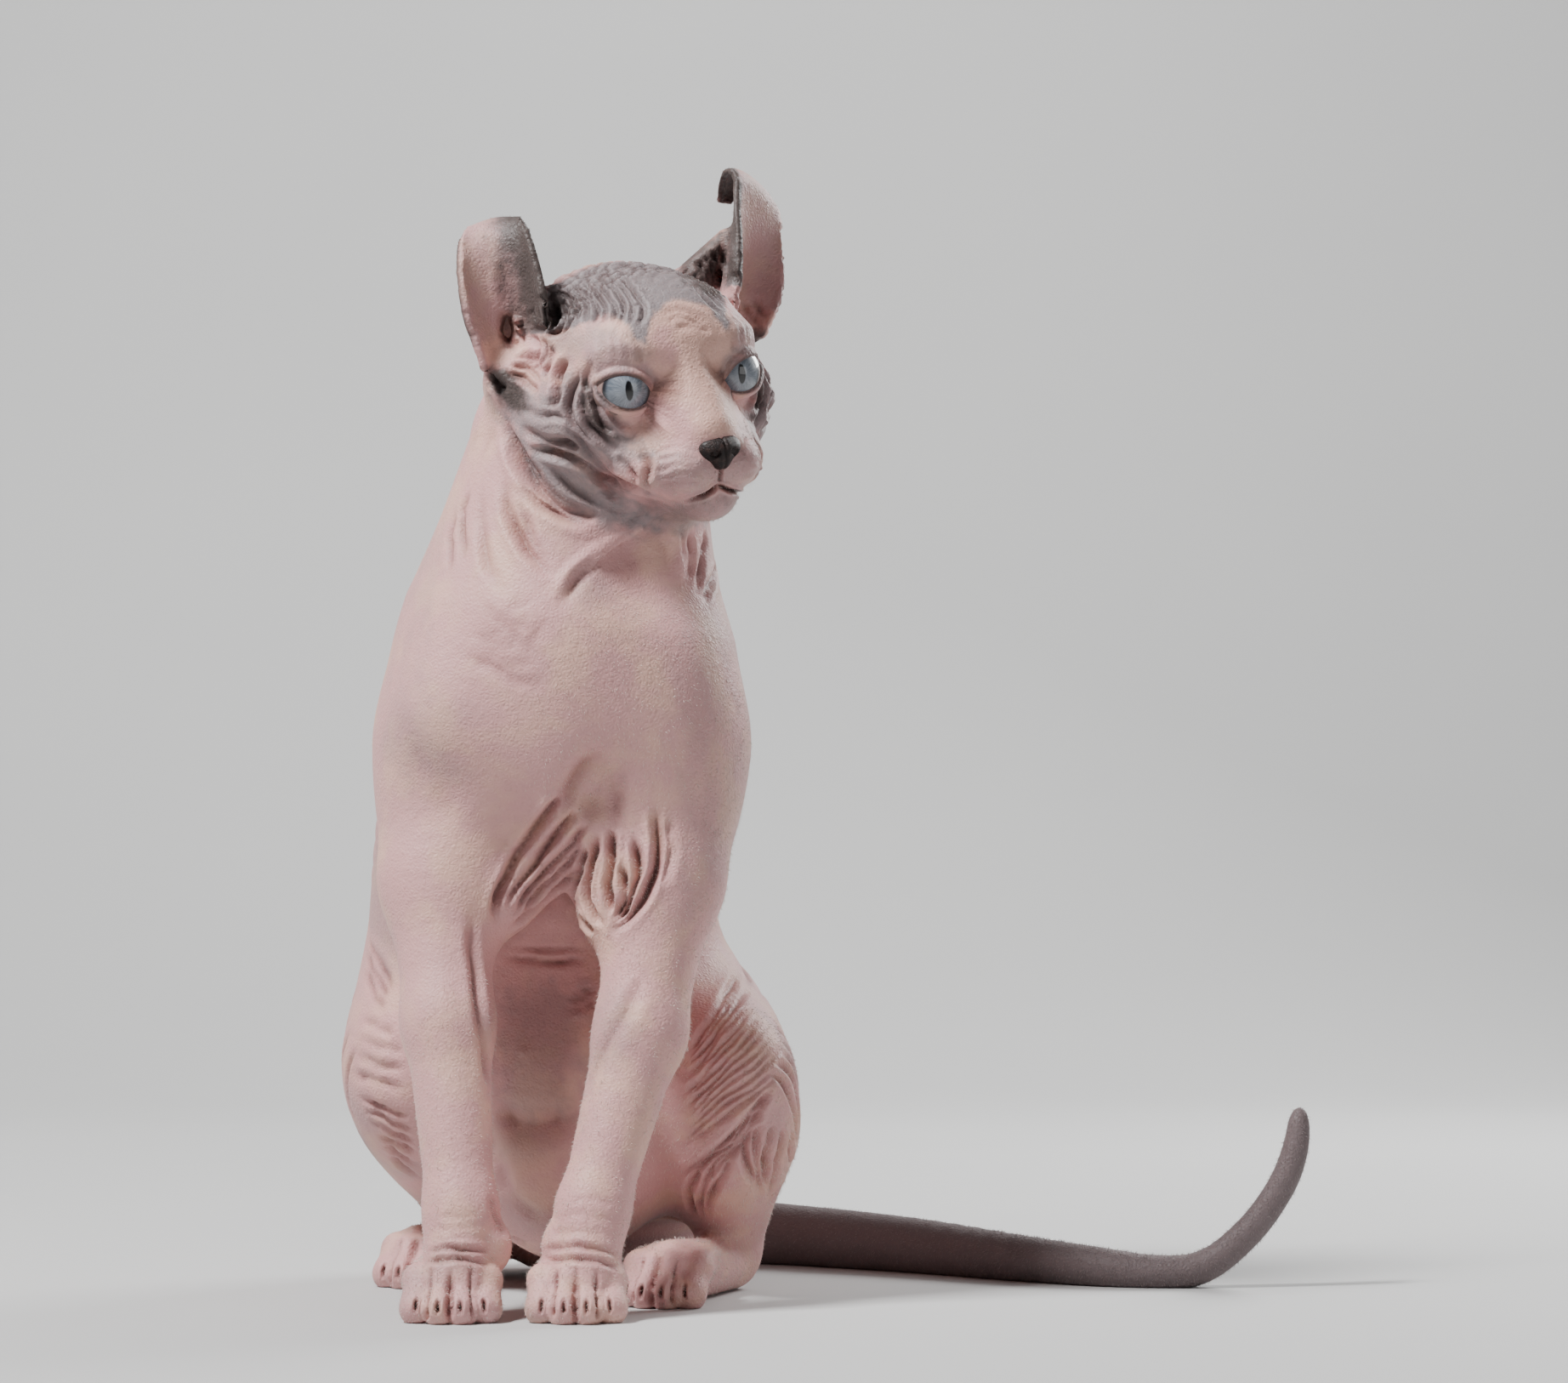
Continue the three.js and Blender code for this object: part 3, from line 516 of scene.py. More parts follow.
class EarField:
    """A search tree of one ear's middle sheet, with its thickness."""

    REACH = 12.0
    FOOT_THICKNESS = 1.35
    TIP_THICKNESS = 1.0

    def __init__(self, ear: Ear) -> None:
        """Builds the tree of the ear's sheet."""
        grid = ear.sheet()
        self.rows, self.columns = grid.shape[0] - 1, grid.shape[1] - 1
        corners = grid.reshape(-1, 3)
        faces = []
        for i in range(self.rows):
            for j in range(self.columns):
                a = i * (self.columns + 1) + j
                faces.append((a, a + 1, a + self.columns + 2, a + self.columns + 1))
        self.tree = BVHTree.FromPolygons(corners.tolist(), faces)
        self.low = corners.min(axis=0) - self.REACH
        self.high = corners.max(axis=0) + self.REACH

    def near(self, points: Array) -> Array:
        """Lists the points in the ear's box."""
        return np.nonzero(np.all((points > self.low) & (points < self.high), axis=1))[0]

    def places(self, points: Array) -> tuple[Array, Array, Array, Array]:
        """Finds where points are on the ear.

        Returns:
            For each point the distance, the share of the length, the share of the width from -1 to 1, and the
            side of the sheet: 1 at the back and -1 in the cup.
        """
        found = np.full((len(points), 4), 0.0)
        found[:, 0] = Flesh.FAR
        for n, point in enumerate(points):
            hit, normal, face, gap = self.tree.find_nearest(point, self.REACH)
            if hit is not None:
                v = face // self.columns / self.rows
                u = face % self.columns / self.columns * 2 - 1
                away = (Vector(point) - hit).dot(normal)
                found[n] = (gap, v, u, -1.0 if away > 0 else 1.0)
        return found[:, 0], found[:, 1], found[:, 2], found[:, 3]

    def distance(self, points: Array) -> tuple[Array, Array]:
        """Measures the points near the ear: their indices, and how far each lies outside it."""
        near = self.near(points)
        gap, v, u, _ = self.places(points[near])
        wall = self.FOOT_THICKNESS + (self.TIP_THICKNESS - self.FOOT_THICKNESS) * v
        return near, gap - wall


class Flesh:
    """The whole body as one blended form, with a measure of how far a point lies outside it."""

    FAR = 1000.0
    PROBE = 0.02
    EAR_BLEND = 5.0

    def __init__(self, masses: list[Mass], ears: Iterable[Ear]) -> None:
        """Keeps the masses in their order, and a search tree of each ear."""
        self.masses = masses
        self.ears = [EarField(ear) for ear in ears]

    def value(self, points: Array) -> Array:
        """Measures roughly how far points lie outside the skin, negative inside."""
        found = np.full(len(points), self.FAR)
        for mass in self.masses:
            near = np.nonzero(length_of(points - mass.centre) < mass.reach + mass.blend + 14.0)[0]
            if len(near) == 0:
                continue
            found[near] = self.merged(found[near], mass.distance(points[near]), mass.blend)
        for ear in self.ears:
            near, distance = ear.distance(points)
            found[near] = self.merged(found[near], distance, self.EAR_BLEND)
        return np.maximum(found, -points[:, 2])

    @staticmethod
    def merged(first: Array, second: Array, blend: float) -> Array:
        """Joins two forms with a fillet."""
        soft = np.maximum(blend - np.abs(first - second), 0.0)
        return np.minimum(first, second) - soft * soft / (4.0 * blend)

    def slope(self, points: Array, value: Array) -> Array:
        """Gives the direction in which the measure grows."""
        grown = []
        for axis in np.eye(3) * self.PROBE:
            grown.append((self.value(points + axis) - value) / self.PROBE)
        return np.stack(grown, axis=1)

    def settled(self, points: Array, rounds: int, most: float) -> Array:
        """Moves points onto the skin."""
        for _ in range(rounds):
            value = self.value(points)
            slope = self.slope(points, value)
            steep = np.maximum(length_of(slope), 0.25)
            step = np.clip(value / steep, -most, most)
            points = points - slope / steep[:, None] * step[:, None]
        return points


class Blank:
    """Roughs out a form with spheres and sheets, and joins them into one even mesh that lies on it."""

    EAR_WALL = 4.6

    def __init__(self, flesh: Flesh, voxel: float, ears: Iterable[Ear] = ()) -> None:
        """Keeps the form to follow, the size of the mesh's cells in millimetres, and its ears."""
        self.flesh = flesh
        self.voxel = voxel
        self.ears = list(ears)

    def build(self, name: str) -> bpy.types.Object:
        """Makes the mesh, in millimetres, settled on the form."""
        pieces = self.spheres()
        for ear in self.ears:
            pieces.append(self.ear_sheet(ear))
        blank = joined(pieces, name)
        remesh(blank, self.voxel * 1.35)
        self.settle(blank, 5, 3.0)
        remesh(blank, self.voxel)
        self.settle(blank, 2, 1.0)
        LOG.info("%s blank: %d corners", name, len(blank.data.vertices))
        return blank

    def spheres(self) -> list[bpy.types.Object]:
        """Makes a sphere for each bead of each mass."""
        deselect()
        bpy.ops.mesh.primitive_ico_sphere_add(subdivisions=3, radius=1.0)
        model = bpy.context.object
        made = []
        for mass in self.flesh.masses:
            for centre, radii, matrix in mass.beads():
                bead = model.copy()
                bead.data = model.data.copy()
                rest = Matrix((matrix @ np.diag(radii)).tolist()).to_4x4()
                bead.data.transform(Matrix.Translation(Vector(centre)) @ rest)
                bpy.context.collection.objects.link(bead)
                made.append(bead)
        bpy.data.objects.remove(model)
        return made

    def ear_sheet(self, ear: Ear) -> bpy.types.Object:
        """Makes an ear as a bent grid with a wall."""
        grid = ear.sheet()
        rows, columns = grid.shape[0] - 1, grid.shape[1] - 1
        deselect()
        bpy.ops.mesh.primitive_grid_add(x_subdivisions=columns, y_subdivisions=rows, size=1.0)
        sheet = bpy.context.object
        sheet.data.vertices.foreach_set("co", grid.reshape(-1))
        wall = sheet.modifiers.new("wall", "SOLIDIFY")
        wall.thickness = self.EAR_WALL
        wall.offset = 0.0
        bpy.ops.object.modifier_apply(modifier=wall.name)
        return sheet

    def settle(self, blank: bpy.types.Object, rounds: int, most: float) -> None:
        """Moves the mesh's corners onto the form."""
        write_points(blank, self.flesh.settled(read_points(blank), rounds, most))


def deselect() -> None:
    """Leaves nothing selected."""
    bpy.ops.object.select_all(action="DESELECT")


def only(piece: bpy.types.Object) -> None:
    """Selects one object alone and makes it active."""
    deselect()
    piece.select_set(True)
    bpy.context.view_layer.objects.active = piece


def joined(pieces: Sequence[bpy.types.Object], name: str) -> bpy.types.Object:
    """Joins meshes into one object with a name."""
    deselect()
    for piece in pieces:
        piece.select_set(True)
    bpy.context.view_layer.objects.active = pieces[0]
    bpy.ops.object.join()
    made = bpy.context.object
    made.name = name
    made.data.name = name
    bpy.ops.object.transform_apply(location=True, rotation=True, scale=True)
    return made


def remesh(piece: bpy.types.Object, size: float) -> None:
    """Rebuilds a closed mesh from even cells."""
    only(piece)
    cells = piece.modifiers.new("cells", "REMESH")
    cells.mode = "VOXEL"
    cells.voxel_size = size
    cells.adaptivity = 0.0
    bpy.ops.object.modifier_apply(modifier=cells.name)


def thinned(piece: bpy.types.Object, triangles: int) -> None:
    """Splits a mesh into triangles and takes away the least useful ones until few enough are left."""
    only(piece)
    split = piece.modifiers.new("split", "TRIANGULATE")
    bpy.ops.object.modifier_apply(modifier=split.name)
    count = len(piece.data.polygons)
    if count <= triangles:
        return
    fewer = piece.modifiers.new("fewer", "DECIMATE")
    fewer.ratio = triangles / count
    bpy.ops.object.modifier_apply(modifier=fewer.name)


def read_points(piece: bpy.types.Object) -> Array:
    """Reads a mesh's corners."""
    flat = np.empty(len(piece.data.vertices) * 3)
    piece.data.vertices.foreach_get("co", flat)
    return flat.reshape(-1, 3)


def write_points(piece: bpy.types.Object, points: Array) -> None:
    """Moves a mesh's corners."""
    piece.data.vertices.foreach_set("co", np.ascontiguousarray(points, float).reshape(-1))
    piece.data.update()


def read_normals(piece: bpy.types.Object) -> Array:
    """Reads the directions that a mesh's corners face."""
    flat = np.empty(len(piece.data.vertices) * 3)
    piece.data.vertex_normals.foreach_get("vector", flat)
    return flat.reshape(-1, 3)


def finer(piece: bpy.types.Object, chosen: Array) -> None:
    """Splits the faces whose corners are all chosen, in halves each way.

    Args:
        piece: the mesh.
        chosen: true for each corner that is in the place to refine.
    """
    only(piece)
    mesh = piece.data
    sizes = np.empty(len(mesh.polygons), int)
    mesh.polygons.foreach_get("loop_total", sizes)
    corners = np.empty(len(mesh.loops), int)
    mesh.loops.foreach_get("vertex_index", corners)
    starts = np.concatenate([[0], np.cumsum(sizes)[:-1]])
    whole = np.minimum.reduceat(chosen[corners].astype(int), starts).astype(bool)
    bpy.ops.object.mode_set(mode="EDIT")
    bpy.ops.mesh.select_mode(type="FACE")
    bpy.ops.mesh.select_all(action="DESELECT")
    bpy.ops.object.mode_set(mode="OBJECT")
    mesh.polygons.foreach_set("select", whole)
    bpy.ops.object.mode_set(mode="EDIT")
    bpy.ops.mesh.subdivide(number_cuts=1)
    bpy.ops.object.mode_set(mode="OBJECT")


def finished(piece: bpy.types.Object, nodes: Sequence[str]) -> None:
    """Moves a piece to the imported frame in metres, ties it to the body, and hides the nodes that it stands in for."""
    write_points(piece, (read_points(piece) - ORIGIN_MM) / 1000.0)
    only(piece)
    bpy.ops.object.shade_smooth()
    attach(piece, "root")
    if nodes:
        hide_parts(*nodes)
    LOG.info("%s: %d faces", piece.name, len(piece.data.polygons))


@dataclass(frozen=True)
class Sight:
    """A way of looking at the cat, in which the routes of its folds are drawn."""

    pose: Pose
    focal: float = 0.0
    centre: tuple = (0.0, 0.0)
    step: float = 1.3
    start: float = 700.0

    def rays(self, marks: Array) -> tuple[Array, Array]:
        """Gives the start and the direction of the ray through each mark."""
        count = len(marks)
        if self.focal:
            u = (marks[:, 0] - self.centre[0]) / self.focal
            v = (self.centre[1] - marks[:, 1]) / self.focal
            way = np.stack([u, np.ones(count), v], axis=1) @ self.pose.matrix.T
            return np.repeat([self.pose.at], count, axis=0), way / length_of(way)[:, None]
        flat = np.stack([marks[:, 0], np.full(count, -self.start), marks[:, 1]], axis=1)
        return self.pose.out(flat), np.repeat([self.pose.matrix[:, 1]], count, axis=0)

    def marks(self, points: Array) -> Array:
        """Gives the mark at which each point is seen."""
        local = self.pose.into(points)
        if self.focal:
            scale = self.focal / local[:, 1]
            return np.stack([self.centre[0] + local[:, 0] * scale, self.centre[1] - local[:, 2] * scale], axis=1)
        return local[:, [0, 2]]


CAMERA_AT = (78.1, -2095.0, 190.0)
CAMERA_TILT = 1.22
PHOTO_CENTRE = (PHOTO_SIZE[0] / 2, PHOTO_SIZE[1] / 2)
PHOTO_FOCAL = 6147.0
PHOTO_STEP = 4.0
PHOTO = Sight(Pose(CAMERA_AT, 0.0, CAMERA_TILT), PHOTO_FOCAL, PHOTO_CENTRE, PHOTO_STEP)
FROM_LEFT = Sight(Pose((0, 0, 0), 90))
FROM_RIGHT = Sight(Pose((0, 0, 0), -90))
FROM_BEHIND = Sight(Pose((0, 0, 0), 180))
HEAD_LEFT = Sight(Pose((0, 0, 0), 90).inside(HEAD.pose), start=120.0)


@dataclass(frozen=True)
class Folds:
    """A fold of the skin, or a family of folds between a first route and a last one.

    The routes are drawn in a sight. A fold is a crease with a rounded roll of skin beside it, and one with a
    depth below 0 is a ridge. Along each fold the skin is also painted darker and redder: painted shade in the
    crease with a reddish blush.
    """

    sight: Sight
    first: tuple
    last: tuple = ()
    count: int = 1
    depth: float = 2.0
    width: float = 1.6
    lift: float = 0.4
    lean: float = 0.0
    stray: float = 0.5
    # Strength of the painted shade with a reddish blush along the fold; past 1 the bottom of the crease is painted
    # black as deep shade.
    blush_and_shade: float = 0.8
    mirrored: bool = False
    ends: float = 0.22


@dataclass
class Run:
    """A stretch of a fold on the skin: its points, the way the skin faces there, and how strong it is."""

    points: Array
    normals: Array
    strength: Array
    folds: Folds


def resampled(marks: Sequence[Point], count: int) -> Array:
    """Spaces points evenly along a smooth line through marks."""
    smooth = spline(np.array(marks, float), 12) if len(marks) > 2 else np.array(marks, float)
    steps = np.concatenate([[0.0], np.cumsum(length_of(np.diff(smooth, axis=0)))])
    wanted = np.linspace(0.0, steps[-1], count)
    return np.stack([np.interp(wanted, steps, smooth[:, k]) for k in range(2)], axis=1)


class Tracer:
    """Throws the routes of folds onto the smooth skin."""

    BREAK = 5.0

    def __init__(self, blank: bpy.types.Object, seed: int) -> None:
        """Keeps a search tree of the skin, and a seeded draw."""
        self.tree = BVHTree.FromObject(blank, bpy.context.evaluated_depsgraph_get())
        self.rng = np.random.default_rng(seed)

    def trace(self, folds: Folds) -> list[Run]:
        """Finds a family of folds on the skin."""
        last = folds.last or folds.first
        span = max(length_of(np.diff(np.array(marks, float), axis=0)).sum() for marks in (folds.first, last))
        count = max(6, int(span / folds.sight.step))
        first, last = resampled(folds.first, count), resampled(last, count)
        made = []
        for k in range(folds.count):
            share = k / (folds.count - 1) if folds.count > 1 else 0.0
            marks = self.wandering(first * (1.0 - share) + last * share, folds)
            points, normals = self.thrown(folds.sight, marks)
            for run in self.unbroken(points, normals, folds):
                made.append(run)
                if folds.mirrored:
                    made.append(self.reflected(run))
        return made

    def wandering(self, marks: Array, folds: Folds) -> Array:
        """Lets a route stray a little to each side, and end a little early."""
        count = len(marks)
        if folds.count > 1:
            low = int(self.rng.uniform(0.0, 0.1) * count)
            high = count - int(self.rng.uniform(0.0, 0.1) * count)
            marks = marks[low:high]
        along = np.linspace(0.0, 1.0, len(marks))
        off = np.zeros(len(marks))
        for turns in (1.3, 2.9, 5.1):
            off += np.sin(2 * math.pi * (turns * along + self.rng.uniform())) / turns
        across = np.gradient(marks, axis=0)[:, ::-1] * np.array([-1.0, 1.0])
        across /= np.maximum(length_of(across), 1e-6)[:, None]
        return marks + across * (off * folds.stray * folds.sight.step / 1.3)[:, None]

    def thrown(self, sight: Sight, marks: Array) -> tuple[Array, Array]:
        """Meets the skin along the rays of a sight."""
        points = np.full((len(marks), 3), np.nan)
        normals = np.zeros((len(marks), 3))
        for n, (start, way) in enumerate(zip(*sight.rays(marks))):
            hit, normal, _, _ = self.tree.ray_cast(Vector(start), Vector(way))
            if hit is not None:
                points[n] = hit
                normals[n] = normal
        return points, normals

    def unbroken(self, points: Array, normals: Array, folds: Folds) -> list[Run]:
        """Splits a route where it leaves the skin or jumps to another part."""
        jump = length_of(np.diff(points, axis=0))
        broken = ~(jump < self.BREAK)
        edges = [0, *(np.nonzero(broken)[0] + 1), len(points)]
        made = []
        for a, b in zip(edges[:-1], edges[1:]):
            if b - a < 4:
                continue
            along = np.linspace(0.0, 1.0, b - a)
            ease = smoothstep(along, 0.0, folds.ends) * smoothstep(1.0 - along, 0.0, folds.ends)
            wave = 0.88 + 0.2 * np.sin(2 * math.pi * (self.rng.uniform(1.0, 2.4) * along + self.rng.uniform()))
            made.append(Run(points[a:b], normals[a:b], ease * wave * self.rng.uniform(0.8, 1.1), folds))
        return made

    def reflected(self, run: Run) -> Run:
        """Copies a fold of the face to its other side."""
        flipped = HEAD.mirrored(run.points)
        points = np.empty_like(flipped)
        normals = np.empty_like(flipped)
        for n, point in enumerate(flipped):
            hit, normal, _, _ = self.tree.find_nearest(Vector(point))
            points[n] = hit
            normals[n] = normal
        return replace(run, points=points, normals=normals)


class Carver:
    """Presses folds into the skin, and gives the painted shade with a reddish blush along them."""

    CHUNK = 10
    NARROW = 0.82
    DEEPER = 1.25

    def __init__(self, points: Array, normals: Array) -> None:
        """Keeps the skin's corners, and how deep and how high each becomes and how much painted shade with a reddish
        blush it takes.
        """
        self.points = points
        self.normals = normals
        self.order = np.argsort(points[:, 2])
        self.heights = points[self.order, 2]
        self.valley = np.zeros(len(points))
        self.ridge = np.zeros(len(points))
        self.blush_and_shade = np.zeros(len(points))

    def carve(self, run: Run) -> None:
        """Adds one fold."""
        for start in range(0, len(run.points) - 1, self.CHUNK):
            part = slice(start, start + self.CHUNK + 1)
            if len(run.points[part]) > 1:
                self.stretch(run.points[part], run.normals[part], run.strength[part], run.folds)

    def stretch(self, line: Array, facing: Array, strength: Array, folds: Folds) -> None:
        """Adds a short stretch of a fold."""
        reach = 3.4 * folds.width
        low, high = line.min(axis=0) - reach, line.max(axis=0) + reach
        layer = self.order[slice(*np.searchsorted(self.heights, (low[2], high[2])))]
        near = layer[np.all((self.points[layer] > low) & (self.points[layer] < high), axis=1)]
        if len(near) == 0:
            return
        along = np.diff(line, axis=0)
        offset = self.points[near][:, None, :] - line[None, :-1]
        t = np.clip(np.einsum("ijk,jk->ij", offset, along) / np.maximum(length_of(along) ** 2, 1e-9), 0.0, 1.0)
        away = offset - t[..., None] * along
        gaps = length_of(away)
        best = gaps.argmin(axis=1)
        rows = np.arange(len(near))
        gap = gaps[rows, best]
        share = t[rows, best]
        force = strength[best] * (1 - share) + strength[best + 1] * share
        force = force * smoothstep((self.normals[near] * facing[best]).sum(-1), -0.1, 0.5)
        side = np.sign((np.cross(along[best], facing[best]) * away[rows, best]).sum(-1))
        q = gap / (folds.width * self.NARROW)
        # Painted shade with a reddish blush, strongest along the bottom of the fold.
        self.blush_and_shade[near] = np.maximum(self.blush_and_shade[near], folds.blush_and_shade * force * np.exp(-((q / 1.1) ** 2)))
        if folds.depth < 0:
            self.ridge[near] = np.maximum(self.ridge[near], -folds.depth * force * np.exp(-(q**2)))
            return
        self.valley[near] = np.maximum(self.valley[near], self.DEEPER * folds.depth * force * np.exp(-(q**1.2)))
        roll = folds.depth * folds.lift * force * (1.0 + folds.lean * side) * np.exp(-(((q - 1.9) / 1.1) ** 2))
        self.ridge[near] = np.maximum(self.ridge[near], roll)

    def shift(self) -> Array:
        """Gives how far each corner moves out."""
        return self.ridge * np.exp(-self.valley) - self.valley


FACE_FOLDS = (
    Folds(PHOTO, ((768, 465), (775, 477), (782, 490), (787, 504)), depth=1.0, width=1.2, blush_and_shade=0.7, mirrored=True),
    Folds(PHOTO, ((688, 455), (686, 479), (695, 504), (716, 521), (740, 528)), depth=4.4, width=2.1, lean=0.3,
          blush_and_shade=0.9, mirrored=True),
    Folds(PHOTO, ((699, 451), (700, 479), (712, 502), (728, 512)), depth=3.4, width=1.8, blush_and_shade=0.8, mirrored=True),
    Folds(PHOTO, ((711, 474), (721, 490), (736, 500), (755, 502)), depth=1.8, width=1.7, mirrored=True),
    Folds(PHOTO, ((670, 419), (655, 445), (653, 469), (643, 486)), depth=4.0, width=2.0, lean=0.2, mirrored=True),
    Folds(PHOTO, ((684, 431), (672, 457), (669, 484), (681, 506), (700, 528)), depth=3.6, width=1.9, mirrored=True),
    Folds(PHOTO, ((694, 423), (688, 445), (690, 462)), depth=1.8, width=1.8, mirrored=True),
    Folds(PHOTO, ((616, 478), (633, 489), (652, 488), (668, 497)), depth=3.0, width=1.8, mirrored=True),
    Folds(PHOTO, ((612, 502), (638, 515), (667, 521), (688, 534)), depth=3.4, width=2.0, mirrored=True),
    Folds(PHOTO, ((623, 523), (652, 534), (682, 544), (711, 563), (738, 585)), depth=3.8, width=2.1, lean=0.3,
          mirrored=True),
    Folds(PHOTO, ((660, 499), (682, 521), (702, 544), (728, 568), (757, 586), (780, 595)), depth=4.2, width=2.2,
          lean=0.3, mirrored=True),
    Folds(PHOTO, ((750, 530), (762, 548), (759, 570), (768, 585)), depth=2.2, width=1.8, mirrored=True),
    Folds(PHOTO, ((731, 534), (741, 554), (746, 577)), depth=2.0, width=1.8, mirrored=True),
    Folds(PHOTO, ((765, 535), (794, 527), (823, 534)), ((767, 574), (800, 568), (834, 563)), count=5, depth=0.6,
          width=1.4, blush_and_shade=0.2, mirrored=True),
    Folds(PHOTO, ((648, 337), (667, 346), (679, 362), (678, 384)), ((721, 318), (743, 337), (756, 362), (750, 388)),
          count=8, depth=2.0, width=1.4, mirrored=True),
    Folds(PHOTO, ((652, 335), (687, 322), (726, 315), (765, 315), (804, 325), (834, 342)),
          ((682, 374), (716, 362), (750, 359), (773, 357)), count=6, depth=0.8, width=1.6, blush_and_shade=0.3, mirrored=True),
    Folds(PHOTO, ((712, 388), (709, 406), (716, 424)), ((750, 391), (749, 409), (758, 428)), count=4, depth=0.8,
          width=1.7, blush_and_shade=0.3, mirrored=True),
    Folds(PHOTO, ((775, 372), (794, 365), (814, 371), (836, 382)), ((785, 387), (814, 383), (841, 396)), count=3,
          depth=0.9, width=1.8, blush_and_shade=0.2),
    Folds(PHOTO, ((629, 348), (645, 362), (640, 384), (621, 390)), ((663, 348), (676, 362), (667, 384), (642, 396)),
          count=4, depth=2.4, width=1.6, mirrored=True),
    Folds(PHOTO, ((621, 391), (634, 406), (625, 424), (608, 435)), ((648, 401), (648, 420), (636, 445)), count=3,
          depth=2.0, width=1.8, mirrored=True),
    Folds(PHOTO, ((606, 416), (625, 421), (639, 436)), ((594, 435), (616, 445), (636, 462)), count=3, depth=2.2,
          width=1.8),
    Folds(PHOTO, ((816, 306), (826, 312), (834, 327), (838, 343)), ((845, 286), (851, 303), (853, 319), (849, 335)),
          count=4, depth=2.0, width=1.5),
)

EAR_FOLDS = (
    Folds(PHOTO, ((550, 286), (545, 317), (550, 352), (560, 387), (575, 421)), depth=-0.7, width=3.2, blush_and_shade=0.0),
    Folds(PHOTO, ((594, 378), (586, 352), (581, 322), (585, 295)), depth=-0.8, width=2.8, blush_and_shade=0.0),
    # The pit of the cup and the fold under it are painted dark as shade; the knobs are painted darker and redder.
    Folds(PHOTO, ((596, 366), (597, 388), (602, 410)), depth=3.4, width=2.4, lift=0.1, blush_and_shade=1.2, stray=0),
    Folds(PHOTO, ((601, 375), (608, 377), (615, 379)), depth=-5.0, width=1.5, blush_and_shade=1.0, stray=0, ends=0.1),
    Folds(PHOTO, ((603, 386), (610, 387), (617, 390)), depth=-5.0, width=1.5, blush_and_shade=1.0, stray=0, ends=0.1),
    Folds(PHOTO, ((597, 398), (604, 399), (610, 401)), depth=-4.2, width=1.4, blush_and_shade=1.0, stray=0, ends=0.1),
    Folds(PHOTO, ((573, 431), (580, 450), (596, 459)), depth=4.0, width=2.4, blush_and_shade=1.6),
    Folds(PHOTO, ((858, 264), (863, 298), (858, 327)), depth=-0.8, width=2.0, blush_and_shade=0.0),
    Folds(PHOTO, ((863, 352), (878, 362), (893, 384)), ((883, 352), (892, 362), (902, 376)), count=2, depth=1.0,
          width=1.8),
)

NECK_FOLDS = (
    Folds(PHOTO, ((594, 486), (601, 523), (624, 562), (658, 593), (697, 607), (732, 617)), depth=5.0, width=2.8,
          lean=0.3, blush_and_shade=0.8, mirrored=True),
    Folds(PHOTO, ((606, 505), (619, 544), (648, 578), (688, 599), (727, 609)), depth=3.0, width=2.0, mirrored=True),
    Folds(PHOTO, ((642, 544), (668, 573), (707, 593), (741, 605), (777, 607)), depth=3.6, width=2.0, lean=0.2,
          mirrored=True),
    Folds(PHOTO, ((697, 554), (722, 583), (746, 603), (765, 617)), depth=3.2, width=1.9),
    Folds(PHOTO, ((608, 560), (629, 586), (660, 605), (692, 613), (729, 619), (765, 610)), depth=4.0, width=2.6),
    Folds(PHOTO, ((535, 591), (530, 633), (527, 680)), ((552, 570), (543, 618), (546, 667)), count=2, depth=1.8,
          width=2.0),
    Folds(PHOTO, ((569, 565), (565, 607), (569, 649), (583, 682), (601, 706)),
          depth=1.7, width=2.4, lean=0.2, blush_and_shade=0.4, ends=0.4),
    Folds(PHOTO, ((590, 560), (597, 595), (613, 633), (635, 665), (660, 682)),
          depth=4.0, width=2.4, lean=0.3, blush_and_shade=0.7, ends=0.35),
    Folds(PHOTO, ((608, 585), (622, 625), (641, 656), (655, 667)), depth=2.0, width=2.2, blush_and_shade=0.5, ends=0.35),
    Folds(PHOTO, ((654, 718), (676, 686), (708, 654), (744, 629), (788, 606)), depth=6.0, width=2.6, lift=0.5,
          lean=-0.6, blush_and_shade=1.0, ends=0.35),
    Folds(PHOTO, ((791, 626), (803, 660), (798, 674)), depth=4.0, width=2.0, lift=0.7),
    Folds(PHOTO, ((817, 616), (815, 665), (811, 689)), ((840, 621), (840, 675), (829, 709)), count=3, depth=3.4,
          width=1.9),
    Folds(PHOTO, ((543, 696), (571, 718), (603, 743), (634, 770), (652, 782)),
          depth=0.7, width=2.8, stray=1.2, blush_and_shade=0.3, ends=0.4),
    Folds(PHOTO, ((556, 723), (587, 722), (613, 713), (641, 700)), ((542, 744), (577, 770), (608, 780), (642, 771)),
          count=4, depth=0.6, width=2.8, stray=1.4, blush_and_shade=0.3, ends=0.4),
    Folds(PHOTO, ((567, 711), (603, 734), (642, 751)), depth=0.7, width=2.8, stray=1.2, blush_and_shade=0.3, ends=0.4),
    Folds(PHOTO, ((534, 759), (566, 780), (608, 797), (652, 808)),
          depth=1.0, width=2.8, stray=1.0, blush_and_shade=0.4, ends=0.4),
    Folds(PHOTO, ((603, 782), (634, 744), (656, 717)), ((561, 770), (587, 738), (608, 707)), count=3, depth=0.6,
          width=2.8, stray=1.2, blush_and_shade=0.3, ends=0.4),
    Folds(PHOTO, ((477, 827), (489, 885), (514, 937), (532, 960)), depth=1.0, width=6.0, blush_and_shade=0.1),
)

